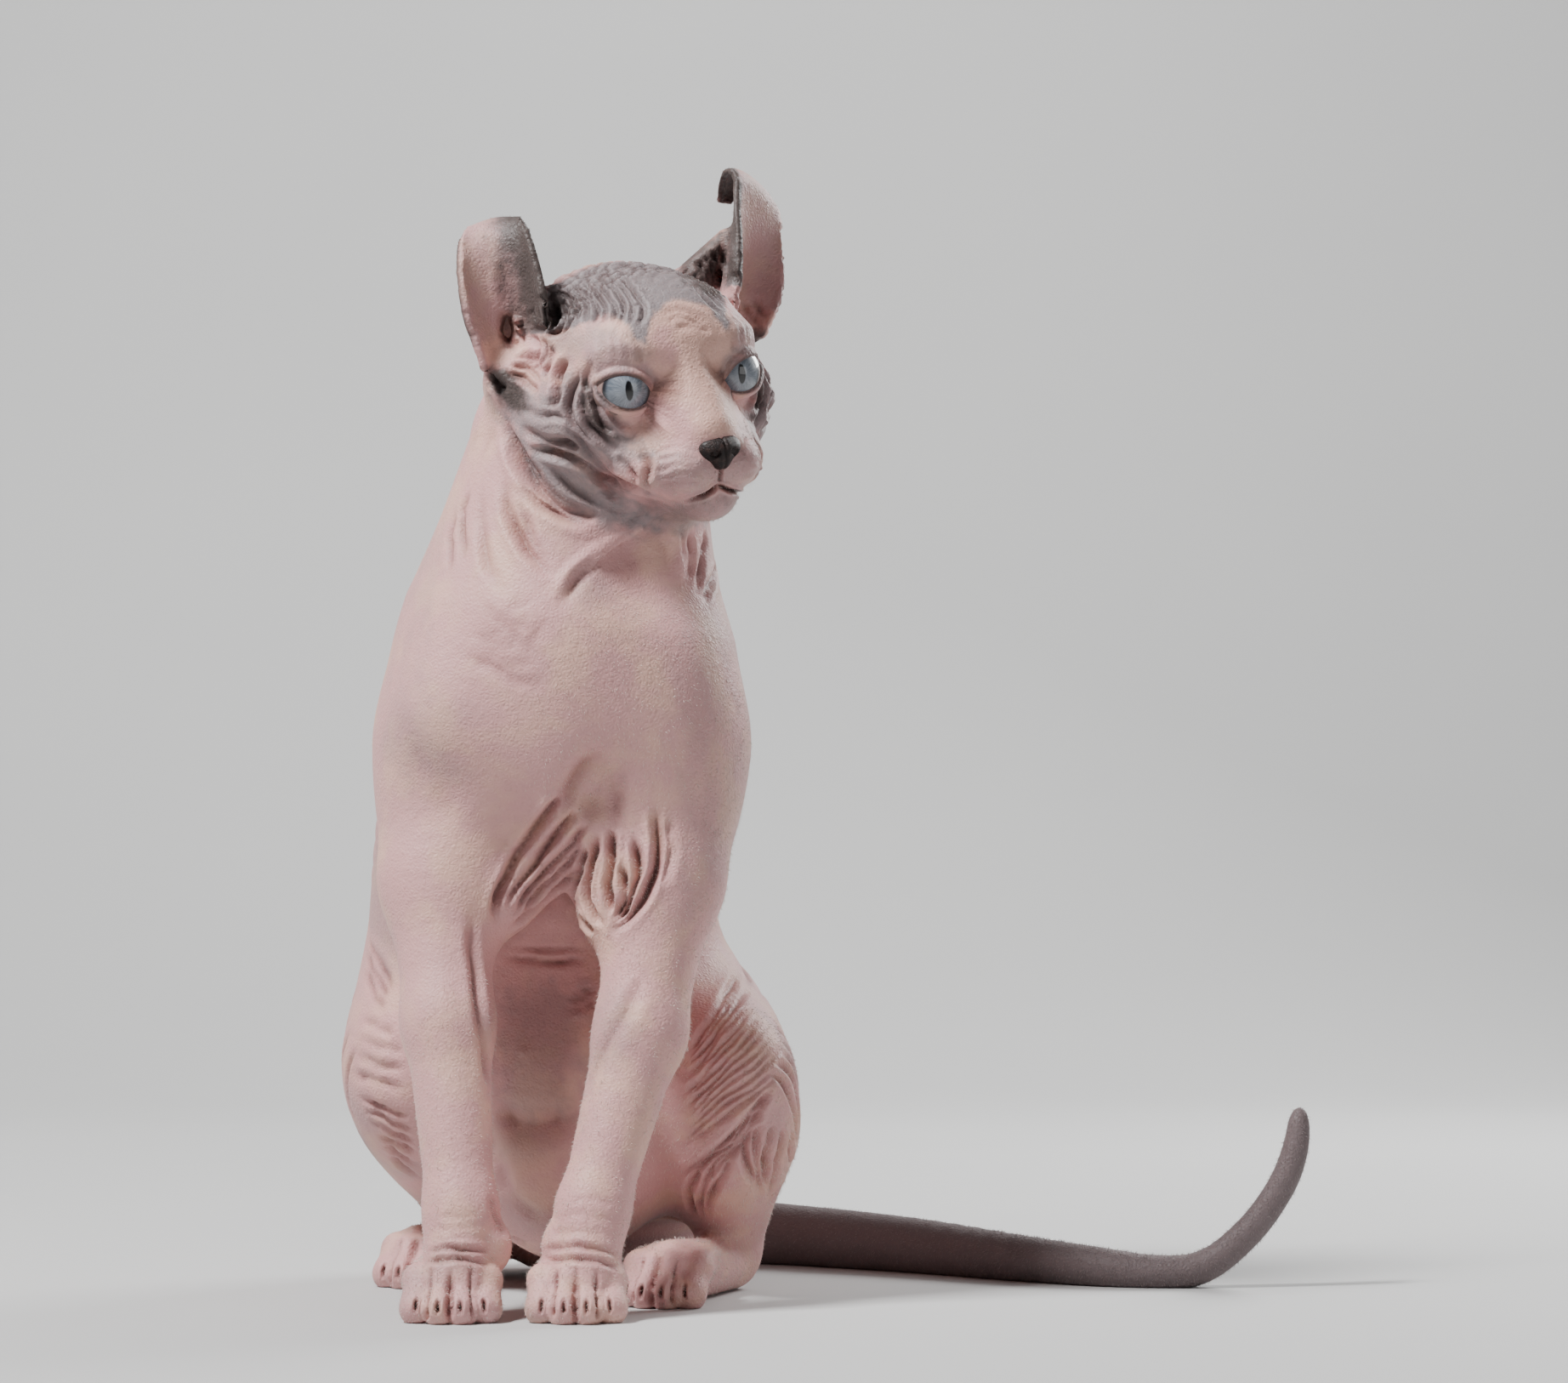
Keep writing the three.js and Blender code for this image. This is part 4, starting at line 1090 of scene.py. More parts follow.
CHEST_FOLDS = (
    Folds(PHOTO, ((682, 921), (650, 949), (623, 985), (598, 1026), (582, 1064), (587, 1092)), depth=4.0, width=2.0,
          lift=0.5),
    Folds(PHOTO, ((692, 943), (660, 975), (634, 1006), (612, 1038), (591, 1072)), depth=4.4, width=1.8, lift=0.5),
    Folds(PHOTO, ((693, 962), (676, 986), (650, 1018), (623, 1048), (601, 1080)), depth=4.4, width=1.8, lift=0.5),
    Folds(PHOTO, ((687, 984), (666, 1017), (638, 1048), (612, 1081)), depth=4.2, width=1.7, lift=0.5),
    Folds(PHOTO, ((684, 1012), (660, 1043), (629, 1069), (598, 1091)), depth=3.8, width=1.7, lift=0.5),
    Folds(PHOTO, ((692, 996), (681, 1022), (673, 1048), (679, 1074), (698, 1096)), depth=4.2, width=1.8, lift=0.5),
    Folds(PHOTO, ((702, 980), (694, 1017), (691, 1048), (697, 1076), (711, 1091)), depth=4.4, width=1.7, lift=0.5),
    Folds(PHOTO, ((716, 970), (719, 1006), (716, 1047), (718, 1080)), depth=4.4, width=1.7, lift=0.5),
    Folds(PHOTO, ((731, 1012), (734, 1047), (729, 1069), (719, 1085)), depth=3.4, width=1.6, lift=0.5),
    Folds(PHOTO, ((744, 980), (750, 1017), (744, 1048), (732, 1074), (719, 1090)), depth=4.2, width=1.8, lift=0.5),
    Folds(PHOTO, ((770, 943), (774, 996), (763, 1043), (744, 1074), (716, 1103)), depth=4.0, width=2.0, lift=0.5,
          lean=0.3),
    Folds(PHOTO, ((787, 959), (787, 1006), (778, 1048)), depth=1.6, width=2.4, blush_and_shade=0.2),
    Folds(PHOTO, ((717, 872), (702, 891), (686, 914), (668, 942), (655, 974)), depth=3.6, width=4.6, lift=0.1,
          blush_and_shade=0.8, stray=0.2, ends=0.4),
    Folds(PHOTO, ((702, 891), (698, 916), (692, 948), (680, 979)), depth=3.4, width=4.0, lift=0.1, blush_and_shade=0.8,
          stray=0.2, ends=0.4),
    Folds(PHOTO, ((704, 895), (717, 927), (723, 958), (726, 990)), depth=2.4, width=3.6, lift=0.1, blush_and_shade=0.4,
          stray=0.2, ends=0.4),
)

BELLY_FOLDS = (
    Folds(PHOTO, ((574, 1124), (630, 1129), (705, 1129)), depth=2.8, width=1.4, lift=0.25, blush_and_shade=0.4, ends=0.4),
    Folds(PHOTO, ((578, 1112), (642, 1117), (708, 1116)), depth=1.6, width=1.3, lift=0.25, blush_and_shade=0.3, ends=0.4),
    Folds(PHOTO, ((668, 1170), (688, 1166), (706, 1163)), ((659, 1187), (684, 1184), (705, 1178)), count=3, depth=2.0,
          width=1.7),
    Folds(PHOTO, ((583, 1306), (619, 1321), (648, 1319), (676, 1310)), depth=3.6, width=5.5, blush_and_shade=0.5, lift=0.3),
    Folds(PHOTO, ((583, 1348), (599, 1387), (621, 1417), (642, 1430)), depth=2.4, width=3.6, blush_and_shade=0.4),
    Folds(PHOTO, ((579, 1403), (591, 1445), (620, 1462)), depth=2.0, width=3.0, blush_and_shade=0.4),
)

LEG_FOLDS = (
    Folds(PHOTO, ((553, 1060), (559, 1134), (565, 1203), (576, 1291)), depth=2.4, width=2.6, blush_and_shade=0.5),
    Folds(PHOTO, ((756, 1134), (744, 1174), (699, 1256), (688, 1300)), depth=1.4, width=3.6, blush_and_shade=0.3),
    Folds(PHOTO, ((494, 1485), (527, 1480), (581, 1485)), ((494, 1473), (527, 1468), (579, 1470)), count=2, depth=1.6,
          width=1.5),
    Folds(PHOTO, ((630, 1486), (676, 1479), (728, 1490)), ((633, 1473), (676, 1464), (730, 1477)), count=2, depth=1.6,
          width=1.5),
    Folds(PHOTO, ((502, 1426), (527, 1432), (572, 1426)), ((502, 1461), (533, 1457), (579, 1455)), count=3, depth=0.4,
          width=1.6, blush_and_shade=0.1),
    Folds(PHOTO, ((636, 1455), (676, 1447), (728, 1455)), ((662, 1415), (693, 1410), (733, 1415)), count=3, depth=0.4,
          width=1.6, blush_and_shade=0.1),
)

HAUNCH_FOLDS = (
    Folds(PHOTO, ((877, 1134), (836, 1197), (807, 1244)), ((933, 1249), (894, 1284), (848, 1314), (791, 1362)),
          count=13, depth=1.7, width=1.7, blush_and_shade=0.35),
    Folds(PHOTO, ((912, 1273), (888, 1304), (863, 1337), (824, 1365), (791, 1384)),
          ((894, 1312), (874, 1346), (848, 1369), (831, 1386)), count=5, depth=3.2, width=1.8, lift=0.4, blush_and_shade=0.45),
    Folds(PHOTO, ((825, 1368), (811, 1399), (816, 1434)), ((866, 1357), (849, 1382), (834, 1407), (832, 1432)), count=3,
          depth=2.4, width=1.8, lift=0.3, blush_and_shade=0.4),
    Folds(PHOTO, ((894, 1302), (877, 1330), (877, 1365), (894, 1406)), ((933, 1329), (926, 1381), (906, 1413)), count=5,
          depth=2.8, width=1.8, lift=0.4, blush_and_shade=0.45),
    Folds(PHOTO, ((421, 1197), (446, 1210), (474, 1216)), ((413, 1260), (445, 1273), (482, 1280)), count=4, depth=1.2,
          width=2.2, blush_and_shade=0.2),
    Folds(PHOTO, ((417, 1288), (453, 1306), (494, 1313)), ((451, 1358), (476, 1373), (498, 1389)), count=6, depth=2.2,
          width=1.9, lift=0.3, blush_and_shade=0.4, ends=0.35),
    Folds(PHOTO, ((430, 1095), (445, 1129), (464, 1169)), ((424, 1129), (436, 1157), (453, 1192)), count=3, depth=1.2,
          width=2.0),
)

UNSEEN_FOLDS = (
    Folds(FROM_LEFT, ((-78, 112), (-60, 96), (-52, 70), (-60, 44)), ((-112, 88), (-98, 84), (-88, 70), (-84, 56)),
          count=6, depth=2.4, width=1.9, ends=0.35),
    Folds(FROM_LEFT, ((22, 152), (-24, 128), (-66, 118)), ((44, 60), (10, 56), (-24, 60)), count=9, depth=1.4,
          width=2.1, stray=1.2, blush_and_shade=0.5, ends=0.4),
    Folds(FROM_LEFT, ((-24, 276), (-46, 232), (-80, 186)), ((10, 206), (-24, 174), (-64, 156)), count=6, depth=1.5,
          width=2.6, stray=1.3, blush_and_shade=0.4, ends=0.4),
    Folds(FROM_RIGHT, ((44, 122), (26, 104), (18, 78), (28, 50)), ((68, 96), (58, 90), (50, 74), (50, 58)),
          count=4, depth=1.6, width=1.9, ends=0.35),
    Folds(FROM_RIGHT, ((-40, 150), (-10, 132), (22, 124)), ((-56, 62), (-34, 56), (-6, 60)), count=9, depth=1.1,
          width=2.1, stray=1.2, blush_and_shade=0.4, ends=0.4),
    Folds(FROM_RIGHT, ((24, 276), (46, 232), (80, 186)), ((-10, 206), (24, 174), (64, 156)), count=6, depth=1.5,
          width=2.6, stray=1.3, blush_and_shade=0.4, ends=0.4),
    Folds(FROM_BEHIND, ((-46, 330), (-14, 318), (20, 330)), ((-62, 252), (-8, 234), (46, 252)), count=7,
          depth=1.7, width=2.6, stray=1.3, blush_and_shade=0.4, ends=0.4),
    Folds(FROM_BEHIND, ((-56, 66), (-20, 48), (-14, 26)), ((-30, 92), (6, 70), (34, 40)), count=5, depth=2.4,
          width=2.0),
    Folds(HEAD_LEFT, ((-8, -12), (4, -22), (12, -38)), ((12, 4), (22, -14), (26, -34)), count=3, depth=2.0,
          width=2.0),
)


def toe_folds(toes: Toes) -> list[Folds]:
    """Draws the clefts between a foot's toes and the slits that its claws come out of, with painted shade in both; the
    slits are painted near black.
    """
    front = Sight(Pose().inside(toes.pose), start=45.0, step=0.7)
    above = Sight(Pose(pitch=-90).inside(toes.pose), start=22.0, step=0.7)
    slit = Folds(front, (), depth=2.2, width=0.8, lift=0.35, blush_and_shade=1.6, ends=0.35, stray=0.0)
    cleft = Folds(front, (), depth=3.0, width=1.35, lift=0.1, blush_and_shade=0.6, ends=0.25, stray=0.0)
    tips = [toes.joints(index)[2][0] for index in range(4)]
    made = []
    for x in tips:
        made.append(replace(slit, first=((x, 3.6), (x * 0.99, 6.4), (x * 0.98, 9.4))))
    for a, b in zip(tips[:-1], tips[1:]):
        x = (a + b) / 2
        made.append(replace(cleft, first=((x, 0.2), (x, 6), (x * 0.97, 11.5))))
        made.append(replace(cleft, sight=above, first=((x, -17), (x * 0.97, -12), (x * 0.9, -5)), depth=1.8))
    return made


@dataclass(frozen=True)
class Swell:
    """A soft rise of the skin, or a hollow where its height is below 0, at a mark in a sight."""

    mark: tuple
    radius: float
    height: float
    mirrored: bool = False
    sight: Sight = PHOTO


SWELLS = (
    Swell((744, 515), 8.5, 2.6, True),
    Swell((718, 543), 9.0, 1.8, True),
    Swell((809, 550), 11.0, 1.0, True),
    Swell((736, 419), 11.0, 1.4, True),
    Swell((633, 494), 11.0, 1.6, True),
    Swell((824, 352), 16.0, 0.8),
    Swell((702, 935), 9.0, -4.0),
    Swell((712, 906), 8.0, -2.5),
    Swell((498, 853), 26.0, 3.0),
    Swell((509, 927), 18.0, -3.0),
    Swell((756, 660), 22.0, -8.0),
    Swell((620, 1237), 1.5, 1.2),
    Swell((633, 1257), 26.0, 5.0),
    Swell((625, 1315), 16.0, -3.0),
    Swell((636, 1381), 26.0, 3.0),
    Swell((580, 1337), 1.6, 1.2),
)


@dataclass(frozen=True)
class Patch:
    """A marking with a soft edge, drawn as an outline in a sight."""

    outline: tuple
    strength: float
    feather: float = 14.0
    sight: Sight = PHOTO

    def over(self, points: Array, stray: Array) -> Array:
        """Gives how strong the marking is at points."""
        marks = self.sight.marks(points)
        corners = np.array(self.outline, float)
        nearest = np.full(len(points), 1e9)
        inside = np.zeros(len(points), bool)
        for a, b in zip(corners, np.roll(corners, -1, axis=0)):
            along = b - a
            offset = marks - a
            t = np.clip(offset @ along / max(along @ along, 1e-9), 0.0, 1.0)
            nearest = np.minimum(nearest, length_of(offset - t[:, None] * along))
            crosses = (a[1] > marks[:, 1]) != (b[1] > marks[:, 1])
            if along[1]:
                inside ^= crosses & (marks[:, 0] < a[0] + along[0] * (marks[:, 1] - a[1]) / along[1])
        depth = np.where(inside, nearest, -nearest) + stray * self.feather
        return self.strength * smoothstep(depth, -self.feather * 0.5, self.feather * 0.5)


HEAD_GREY = (
    Patch(((635, 352), (648, 333), (682, 315), (726, 300), (775, 295), (824, 303), (863, 322), (907, 352), (912, 386),
           (885, 382), (863, 369), (834, 360), (814, 359), (797, 352), (780, 359), (767, 371), (764, 386),
           (760, 402), (750, 401), (740, 385), (726, 375), (706, 372), (682, 384), (657, 390), (638, 384)), 0.95, 9.0),
    Patch(((640, 381), (682, 376), (750, 391), (767, 435), (731, 435), (696, 455), (682, 425), (642, 420)), 0.5, 34.0),
    Patch(((569, 435), (598, 445), (628, 455), (682, 435), (716, 464), (736, 504), (765, 523), (755, 548),
           (716, 553), (696, 553), (687, 562), (662, 548), (633, 538), (608, 518), (579, 484)), 0.75, 44.0),
    Patch(((598, 494), (633, 518), (667, 523), (692, 548), (726, 572), (750, 587), (785, 602), (775, 631),
           (736, 631), (696, 621), (652, 602), (618, 562)), 0.8, 40.0),
    # The chin: partly its own grey, partly painted shade under the jaw.
    Patch(((755, 577), (794, 588), (834, 583), (858, 570), (883, 582), (863, 616), (814, 636), (765, 621)), 0.6, 22.0),
    Patch(((760, 533), (794, 523), (838, 533), (863, 562), (834, 585), (794, 591), (755, 577)), 0.45, 30.0),
    Patch(((709, 445), (716, 428), (740, 421), (768, 431), (775, 455), (765, 457), (750, 437), (721, 440)), 0.6, 14.0),
)
HEAD_BROWN = (
    Patch(((684, 450), (692, 445), (699, 479), (716, 504), (736, 517), (716, 521), (694, 505), (684, 479)), 0.7, 16.0),
    Patch(((571, 430), (598, 435), (616, 455), (618, 484), (594, 479), (571, 455)), 0.9, 20.0),
    Patch(((625, 342), (648, 335), (682, 349), (689, 372), (657, 385), (620, 387)), 0.6, 30.0),
    # The chin: partly its own brown, partly painted shade under the jaw.
    Patch(((750, 588), (794, 595), (838, 585), (863, 577), (863, 606), (814, 621), (765, 616)), 0.35, 20.0),
)
FAR_EAR_BROWN = (
    Patch(((866, 264), (863, 317), (851, 352), (834, 352), (804, 332), (794, 305), (834, 278)), 0.85, 16.0),
)
CONCHA_RED = Patch(((594, 372), (617, 369), (619, 390), (608, 409), (594, 404)), 0.2, 16.0)
# Painted shade in the pit of the near ear's cup, laid on as brown.
CONCHA_PIT_SHADE = Patch(((588, 378), (598, 370), (606, 378), (602, 392), (604, 411), (588, 408)), 0.7, 18.0)
BODY_GREY = (
    # The belly: partly its own grey, partly painted shade.
    Patch(((582, 1157), (699, 1152), (693, 1232), (676, 1312), (630, 1329), (585, 1312)), 0.45, 60.0),
    Patch(((461, 612), (514, 591), (524, 675), (509, 780), (524, 853), (488, 948), (461, 853), (477, 717)), 0.3, 80.0),
    Patch(((797, 696), (865, 675), (875, 874), (849, 1084), (797, 1084), (807, 927), (776, 770)), 0.3, 90.0),
)


class Lids:
    """Opens the skin over an eye and shapes the lids on the eyeball."""

    half_length = 13.4
    upper = 6.3
    lower = 6.2
    tilt = 16.0
    margin = 1.05

    def __init__(self, side: int, radius: float) -> None:
        """Keeps the side of the head and the eyeball's radius."""
        self.side = side
        self.radius = radius
        self.pose = HEAD.eye_pose(side)

    def beyond(self, local: Array) -> Array:
        """Measures along the eyeball how far points lie outside the lids' opening."""
        unit = local / np.maximum(length_of(local), 1e-6)[:, None]
        turned = np.arccos(np.clip(-unit[:, 1], -1.0, 1.0)) * self.radius
        flat = unit[:, [0, 2]] / np.maximum(np.hypot(unit[:, 0], unit[:, 2]), 1e-6)[:, None] * turned[:, None]
        angle = math.radians(self.side * self.tilt)
        x = flat[:, 0] * math.cos(angle) + flat[:, 1] * math.sin(angle)
        z = -flat[:, 0] * math.sin(angle) + flat[:, 1] * math.cos(angle)
        reach = np.where(z > 0, self.upper, self.lower)
        share = np.abs(x) / self.half_length
        rise = reach * (1.0 - np.minimum(share, 1.0) ** 2.3)
        steep = 2.3 * reach / self.half_length * np.minimum(share, 1.0) ** 1.3
        over = (np.abs(z) - rise) / np.sqrt(1.0 + steep**2)
        return np.where(share < 1.0, over, np.hypot(np.abs(x) - self.half_length, z / 1.6))

    def near(self, points: Array) -> Array:
        """Lists the points in front of the eye."""
        local = self.pose.into(points)
        return np.nonzero((length_of(local) < 26.0) & (local[:, 1] < 4.0))[0]

    def shaped(self, points: Array) -> Array:
        """Moves the skin over the eye to the lids."""
        near = self.near(points)
        local = self.pose.into(points[near])
        far = length_of(local)
        gap = self.beyond(local)
        rim = self.radius + 0.35 + self.margin * (1.0 - np.exp(-np.maximum(gap, 0.0) / 0.7))
        hidden = self.radius - 1.8
        lid = np.where(gap < 0.0, hidden + (rim - hidden) * smoothstep(gap, -0.6, 0.0), rim)
        above = smoothstep(local[:, 2], -2.0, 3.0)
        crease = (0.1 + 0.5 * above) * np.exp(-(((gap - 3.6) / 0.9) ** 2))
        wanted = lid * (1 - smoothstep(gap, 1.8, 7.0)) + far * smoothstep(gap, 1.8, 7.0) - crease
        points[near] = self.pose.out(local * (wanted / far)[:, None])
        return points


@dataclass(frozen=True)
class Eyes:
    """The eyeballs with their clear fronts."""

    radius: float = 11.6
    bulge: float = 0.7
    front: float = 42.0

    def build(self, side: int, name: str) -> bpy.types.Object:
        """Makes an eyeball whose pole looks forward, with a map of its front for the iris."""
        deselect()
        bpy.ops.mesh.primitive_uv_sphere_add(segments=96, ring_count=64, radius=self.radius)
        eye = bpy.context.object
        eye.name = name
        points = read_points(eye) @ turn(0, 90).T
        angle = np.degrees(np.arccos(np.clip(-points[:, 1] / self.radius, -1, 1)))
        points *= (1 + self.bulge / self.radius * (1 - smoothstep(angle, 8.0, self.front)))[:, None]
        store(eye, "iris_x", points[:, 0])
        store(eye, "iris_z", points[:, 2])
        store(eye, "front", smoothstep(-points[:, 1], 0.0, 3.0))
        write_points(eye, HEAD.gaze_pose(side).out(points))
        return eye


def store(piece: bpy.types.Object, name: str, values: Array) -> None:
    """Keeps a value on each corner of a mesh, for its finish to read."""
    layer = piece.data.attributes.new(name, "FLOAT", "POINT")
    layer.data.foreach_set("value", np.ascontiguousarray(values, dtype=np.float32))


class Nose:
    """The nose pad with its nostrils."""

    pad = (
        ((1.0, -59.4, -17.6), (7.0, 5.2, 3.9), 1), ((0.8, -59.6, -21.6), (4.2, 4.8, 5.0), 4),
        ((-4.3, -57.6, -18.6), (4.1, 4.6, 3.9), 3), ((6.0, -57.6, -18.6), (4.1, 4.6, 3.9), 3),
    )
    nostril = ((3.0, -69, -19.2), (3.6, -62, -19.4), (5.4, -60.3, -19.2), (9.4, -58.0, -18.0))
    bore = 1.35
    slot = 0.7

    def __init__(self) -> None:
        """Places the masses of the pad and the cuts of the nostrils."""
        self.masses = [moved(ball(*mass), HEAD.pose) for mass in self.pad]
        self.cuts = []
        radii = np.linspace(self.bore, self.slot, len(self.nostril))
        for side in (-1, 1):
            route = [(0.9 + side * x, y, z) for x, y, z in self.nostril]
            for i in range(len(route) - 1):
                self.cuts.append(moved(Limb(route[i], radii[i], route[i + 1], radii[i + 1], 1), HEAD.pose))

    def value(self, points: Array) -> Array:
        """Measures how far points lie outside the pad."""
        found = np.full(len(points), Flesh.FAR)
        for mass in self.masses:
            found = Flesh.merged(found, mass.distance(points), mass.blend)
        groove = np.abs(HEAD.pose.into(points)[:, 0] - 0.9)
        found = found + 0.7 * np.exp(-((groove / 0.55) ** 2))
        for cut in self.cuts:
            found = np.maximum(found, -cut.distance(points))
        return found

    def build(self) -> bpy.types.Object:
        """Makes the pad's mesh in millimetres."""
        form = Flesh(self.masses, [])
        form.value = self.value
        return Blank(form, 0.38).build("nose")


class Copies:
    """Many turned and sized copies of one small model, joined in a single mesh."""

    def __init__(self, model: bpy.types.Object) -> None:
        """Takes the model's corners and faces, and removes it."""
        self.corners = read_points(model)
        self.faces = [list(face.vertices) for face in model.data.polygons]
        bpy.data.objects.remove(model)

    def placed(self, name: str, places: Array, turns: Array, sizes: Array) -> bpy.types.Object:
        """Makes the mesh.

        Args:
            name: the object's name.
            places: the place of each copy, of shape (n, 3).
            turns: the matrix that turns each copy, of shape (n, 3, 3).
            sizes: the size of each copy along its own axes, of shape (n, 3).
        """
        count, corners = len(places), len(self.corners)
        shaped = self.corners[None] * sizes[:, None, :]
        points = np.einsum("nij,nkj->nki", turns, shaped) + places[:, None, :]
        faces = []
        for n in range(count):
            faces += [[corner + n * corners for corner in face] for face in self.faces]
        mesh = bpy.data.meshes.new(name)
        mesh.from_pydata(points.reshape(-1, 3).tolist(), [], faces)
        made = bpy.data.objects.new(name, mesh)
        bpy.context.collection.objects.link(made)
        return made


def upright(ways: Array) -> Array:
    """Gives matrices whose third axis points each way."""
    third = ways / length_of(ways)[:, None]
    helper = np.where(np.abs(third[:, 2:3]) < 0.9, [[0.0, 0.0, 1.0]], [[1.0, 0.0, 0.0]])
    first = np.cross(helper, third)
    first /= length_of(first)[:, None]
    return np.stack([first, np.cross(third, first), third], axis=2)


class Claws:
    """The drawn-in claws, of which only the points show."""

    length = 6.0
    radius = 1.15

    def build(self) -> bpy.types.Object:
        """Makes all the claws as one mesh in millimetres."""
        deselect()
        bpy.ops.mesh.primitive_cone_add(vertices=14, radius1=self.radius, radius2=0.12, depth=self.length)
        model = bpy.context.object
        only(model)
        bpy.ops.object.mode_set(mode="EDIT")
        bpy.ops.mesh.select_all(action="SELECT")
        bpy.ops.mesh.subdivide(number_cuts=2)
        bpy.ops.object.mode_set(mode="OBJECT")
        points = read_points(model)
        along = points[:, 2] / self.length + 0.5
        points[:, 0] *= 0.62
        points[:, 1] += 1.6 * along * along
        write_points(model, points)
        places, turns = [], []
        for toes in FEET:
            for index in range(4):
                x, y, z = toes.joints(index)[2]
                places.append(toes.pose.out(np.array([[x, y - toes.radius * 0.62, 6.4]]))[0])
                turns.append(toes.pose.matrix @ turn(pitch=112))
        sizes = np.ones((len(places), 3))
        return Copies(model).placed("claws", np.array(places), np.array(turns), sizes)


class Down:
    """The short down that breaks the outline, as small closed cones rooted in the skin."""

    COUNT = 44000
    QUICK_COUNT = 9000
    UV_MAP = "OFBake"
    PATCH = 0.003

    def __init__(self, skin: bpy.types.Object, seed: int) -> None:
        """Reads the skin's faces."""
        self.skin = skin
        self.rng = np.random.default_rng(seed)
        self.points = read_points(skin)
        self.normals = read_normals(skin)
        corners = np.empty(len(skin.data.loops), int)
        skin.data.loops.foreach_get("vertex_index", corners)
        self.triangles = corners.reshape(-1, 3)

    def roots(self) -> tuple[Array, Array, Array]:
        """Draws where the hairs stand, and gives the skin's facing there and the hairs' lengths."""
        a, b, c = (self.points[self.triangles[:, k]] for k in range(3))
        area = length_of(np.cross(b - a, c - a)) / 2
        middle = (a + b + c) / 3
        dense, long = self.growth(middle)
        weight = area * dense
        count = self.COUNT
        chosen = self.rng.choice(len(weight), count, p=weight / weight.sum())
        share = self.rng.dirichlet((1.0, 1.0, 1.0), count)
        corners = self.triangles[chosen]
        roots = np.einsum("nk,nkj->nj", share, self.points[corners])
        facing = np.einsum("nk,nkj->nj", share, self.normals[corners])
        return roots, facing / length_of(facing)[:, None], long[chosen] * self.rng.uniform(0.7, 1.2, count)

    @staticmethod
    def growth(points: Array) -> tuple[Array, Array]:
        """Gives how dense the down is at points, and how long."""
        dense = np.full(len(points), 1.0)
        long = np.full(len(points), 0.9)
        head = HEAD.pose.into(points)
        zones = (
            (smoothstep(points[:, 0], 70.0, 100.0), 6.0, 1.9),
            (1.0 - smoothstep(points[:, 2], 30.0, 50.0), 2.5, 1.2),
            (smoothstep(-head[:, 1], 34.0, 44.0) * smoothstep(-head[:, 2], 10.0, 18.0), 4.0, 1.5),
            (smoothstep(head[:, 2], 40.0, 52.0), 5.0, 1.2),
        )
        for share, more, length in zones:
            dense = dense + share * more
            long = long + share * (length - long)
        for side in (-1, 1):
            local = HEAD.eye_pose(side).into(points)
            dense = dense * smoothstep(length_of(local), 15.5, 19.0)
        return dense, long

    def build(self) -> bpy.types.Object:
        """Makes the down in millimetres, with its map and its markings."""
        roots, facing, lengths = self.roots()
        deselect()
        bpy.ops.mesh.primitive_cone_add(vertices=3, radius1=1.0, radius2=0.0, depth=1.0, location=(0, 0, 0.5))
        model = bpy.context.object
        bpy.ops.object.transform_apply(location=True)
        lay = np.array([0.0, 0.25, -0.9]) + 0.35 * self.rng.normal(size=roots.shape)
        lay -= (lay * facing).sum(axis=1)[:, None] * facing
        ways = facing * 0.75 + 0.6 * lay / np.maximum(length_of(lay), 0.3)[:, None]
        sizes = np.stack([lengths * 0.065, lengths * 0.065, lengths], axis=1)
        down = Copies(model).placed("down", roots - facing * 0.15, upright(ways), sizes)
        corners = len(down.data.vertices) // len(roots)
        for name, values in Markings().values(roots).items():
            store(down, name, np.repeat(values, corners))
        self.map(down, roots)
        return down

    def map(self, down: bpy.types.Object, roots: Array) -> None:
        """Gives each hair a small patch of the map at its root's place on the unwrapped skin."""
        deselect()
        model = self.skin.copy()
        model.data = self.skin.data.copy()
        bpy.context.collection.objects.link(model)
        thinned(model, 9000)
        only(model)
        bpy.ops.object.mode_set(mode="EDIT")
        bpy.ops.mesh.select_all(action="SELECT")
        bpy.ops.uv.smart_project(angle_limit=math.radians(66), island_margin=0.004)
        bpy.ops.object.mode_set(mode="OBJECT")
        uv = np.empty(len(model.data.loops) * 2)
        model.data.uv_layers.active.data.foreach_get("uv", uv)
        uv = uv.reshape(-1, 3, 2)
        corners = np.empty(len(model.data.loops), int)
        model.data.loops.foreach_get("vertex_index", corners)
        places = read_points(model)[corners.reshape(-1, 3)]
        tree = BVHTree.FromObject(model, bpy.context.evaluated_depsgraph_get())
        hits = np.empty((len(roots), 3))
        faces = np.empty(len(roots), int)
        for n, root in enumerate(roots):
            hit, _, faces[n], _ = tree.find_nearest(Vector(root))
            hits[n] = hit
        first, second, third = (places[faces, k] for k in range(3))
        area = length_of(np.cross(second - first, third - first))[:, None]
        along = length_of(np.cross(third - first, hits - first))[:, None] / np.maximum(area, 1e-9)
        across = length_of(np.cross(second - first, hits - first))[:, None] / np.maximum(area, 1e-9)
        flat = uv[faces]
        middles = flat[:, 0] + along * (flat[:, 1] - flat[:, 0]) + across * (flat[:, 2] - flat[:, 0])
        bpy.data.objects.remove(model)
        layer = down.data.uv_layers.new(name=self.UV_MAP)
        each = len(down.data.loops) // len(roots)
        ring = np.linspace(0.0, 2 * math.pi, each, endpoint=False)
        patch = self.PATCH / 2 * np.stack([np.cos(ring), np.sin(ring)], axis=1)
        spread = np.clip(middles[:, None, :] + patch[None], 0.0, 1.0)
        layer.data.foreach_set("uv", spread.reshape(-1).astype(np.float32))


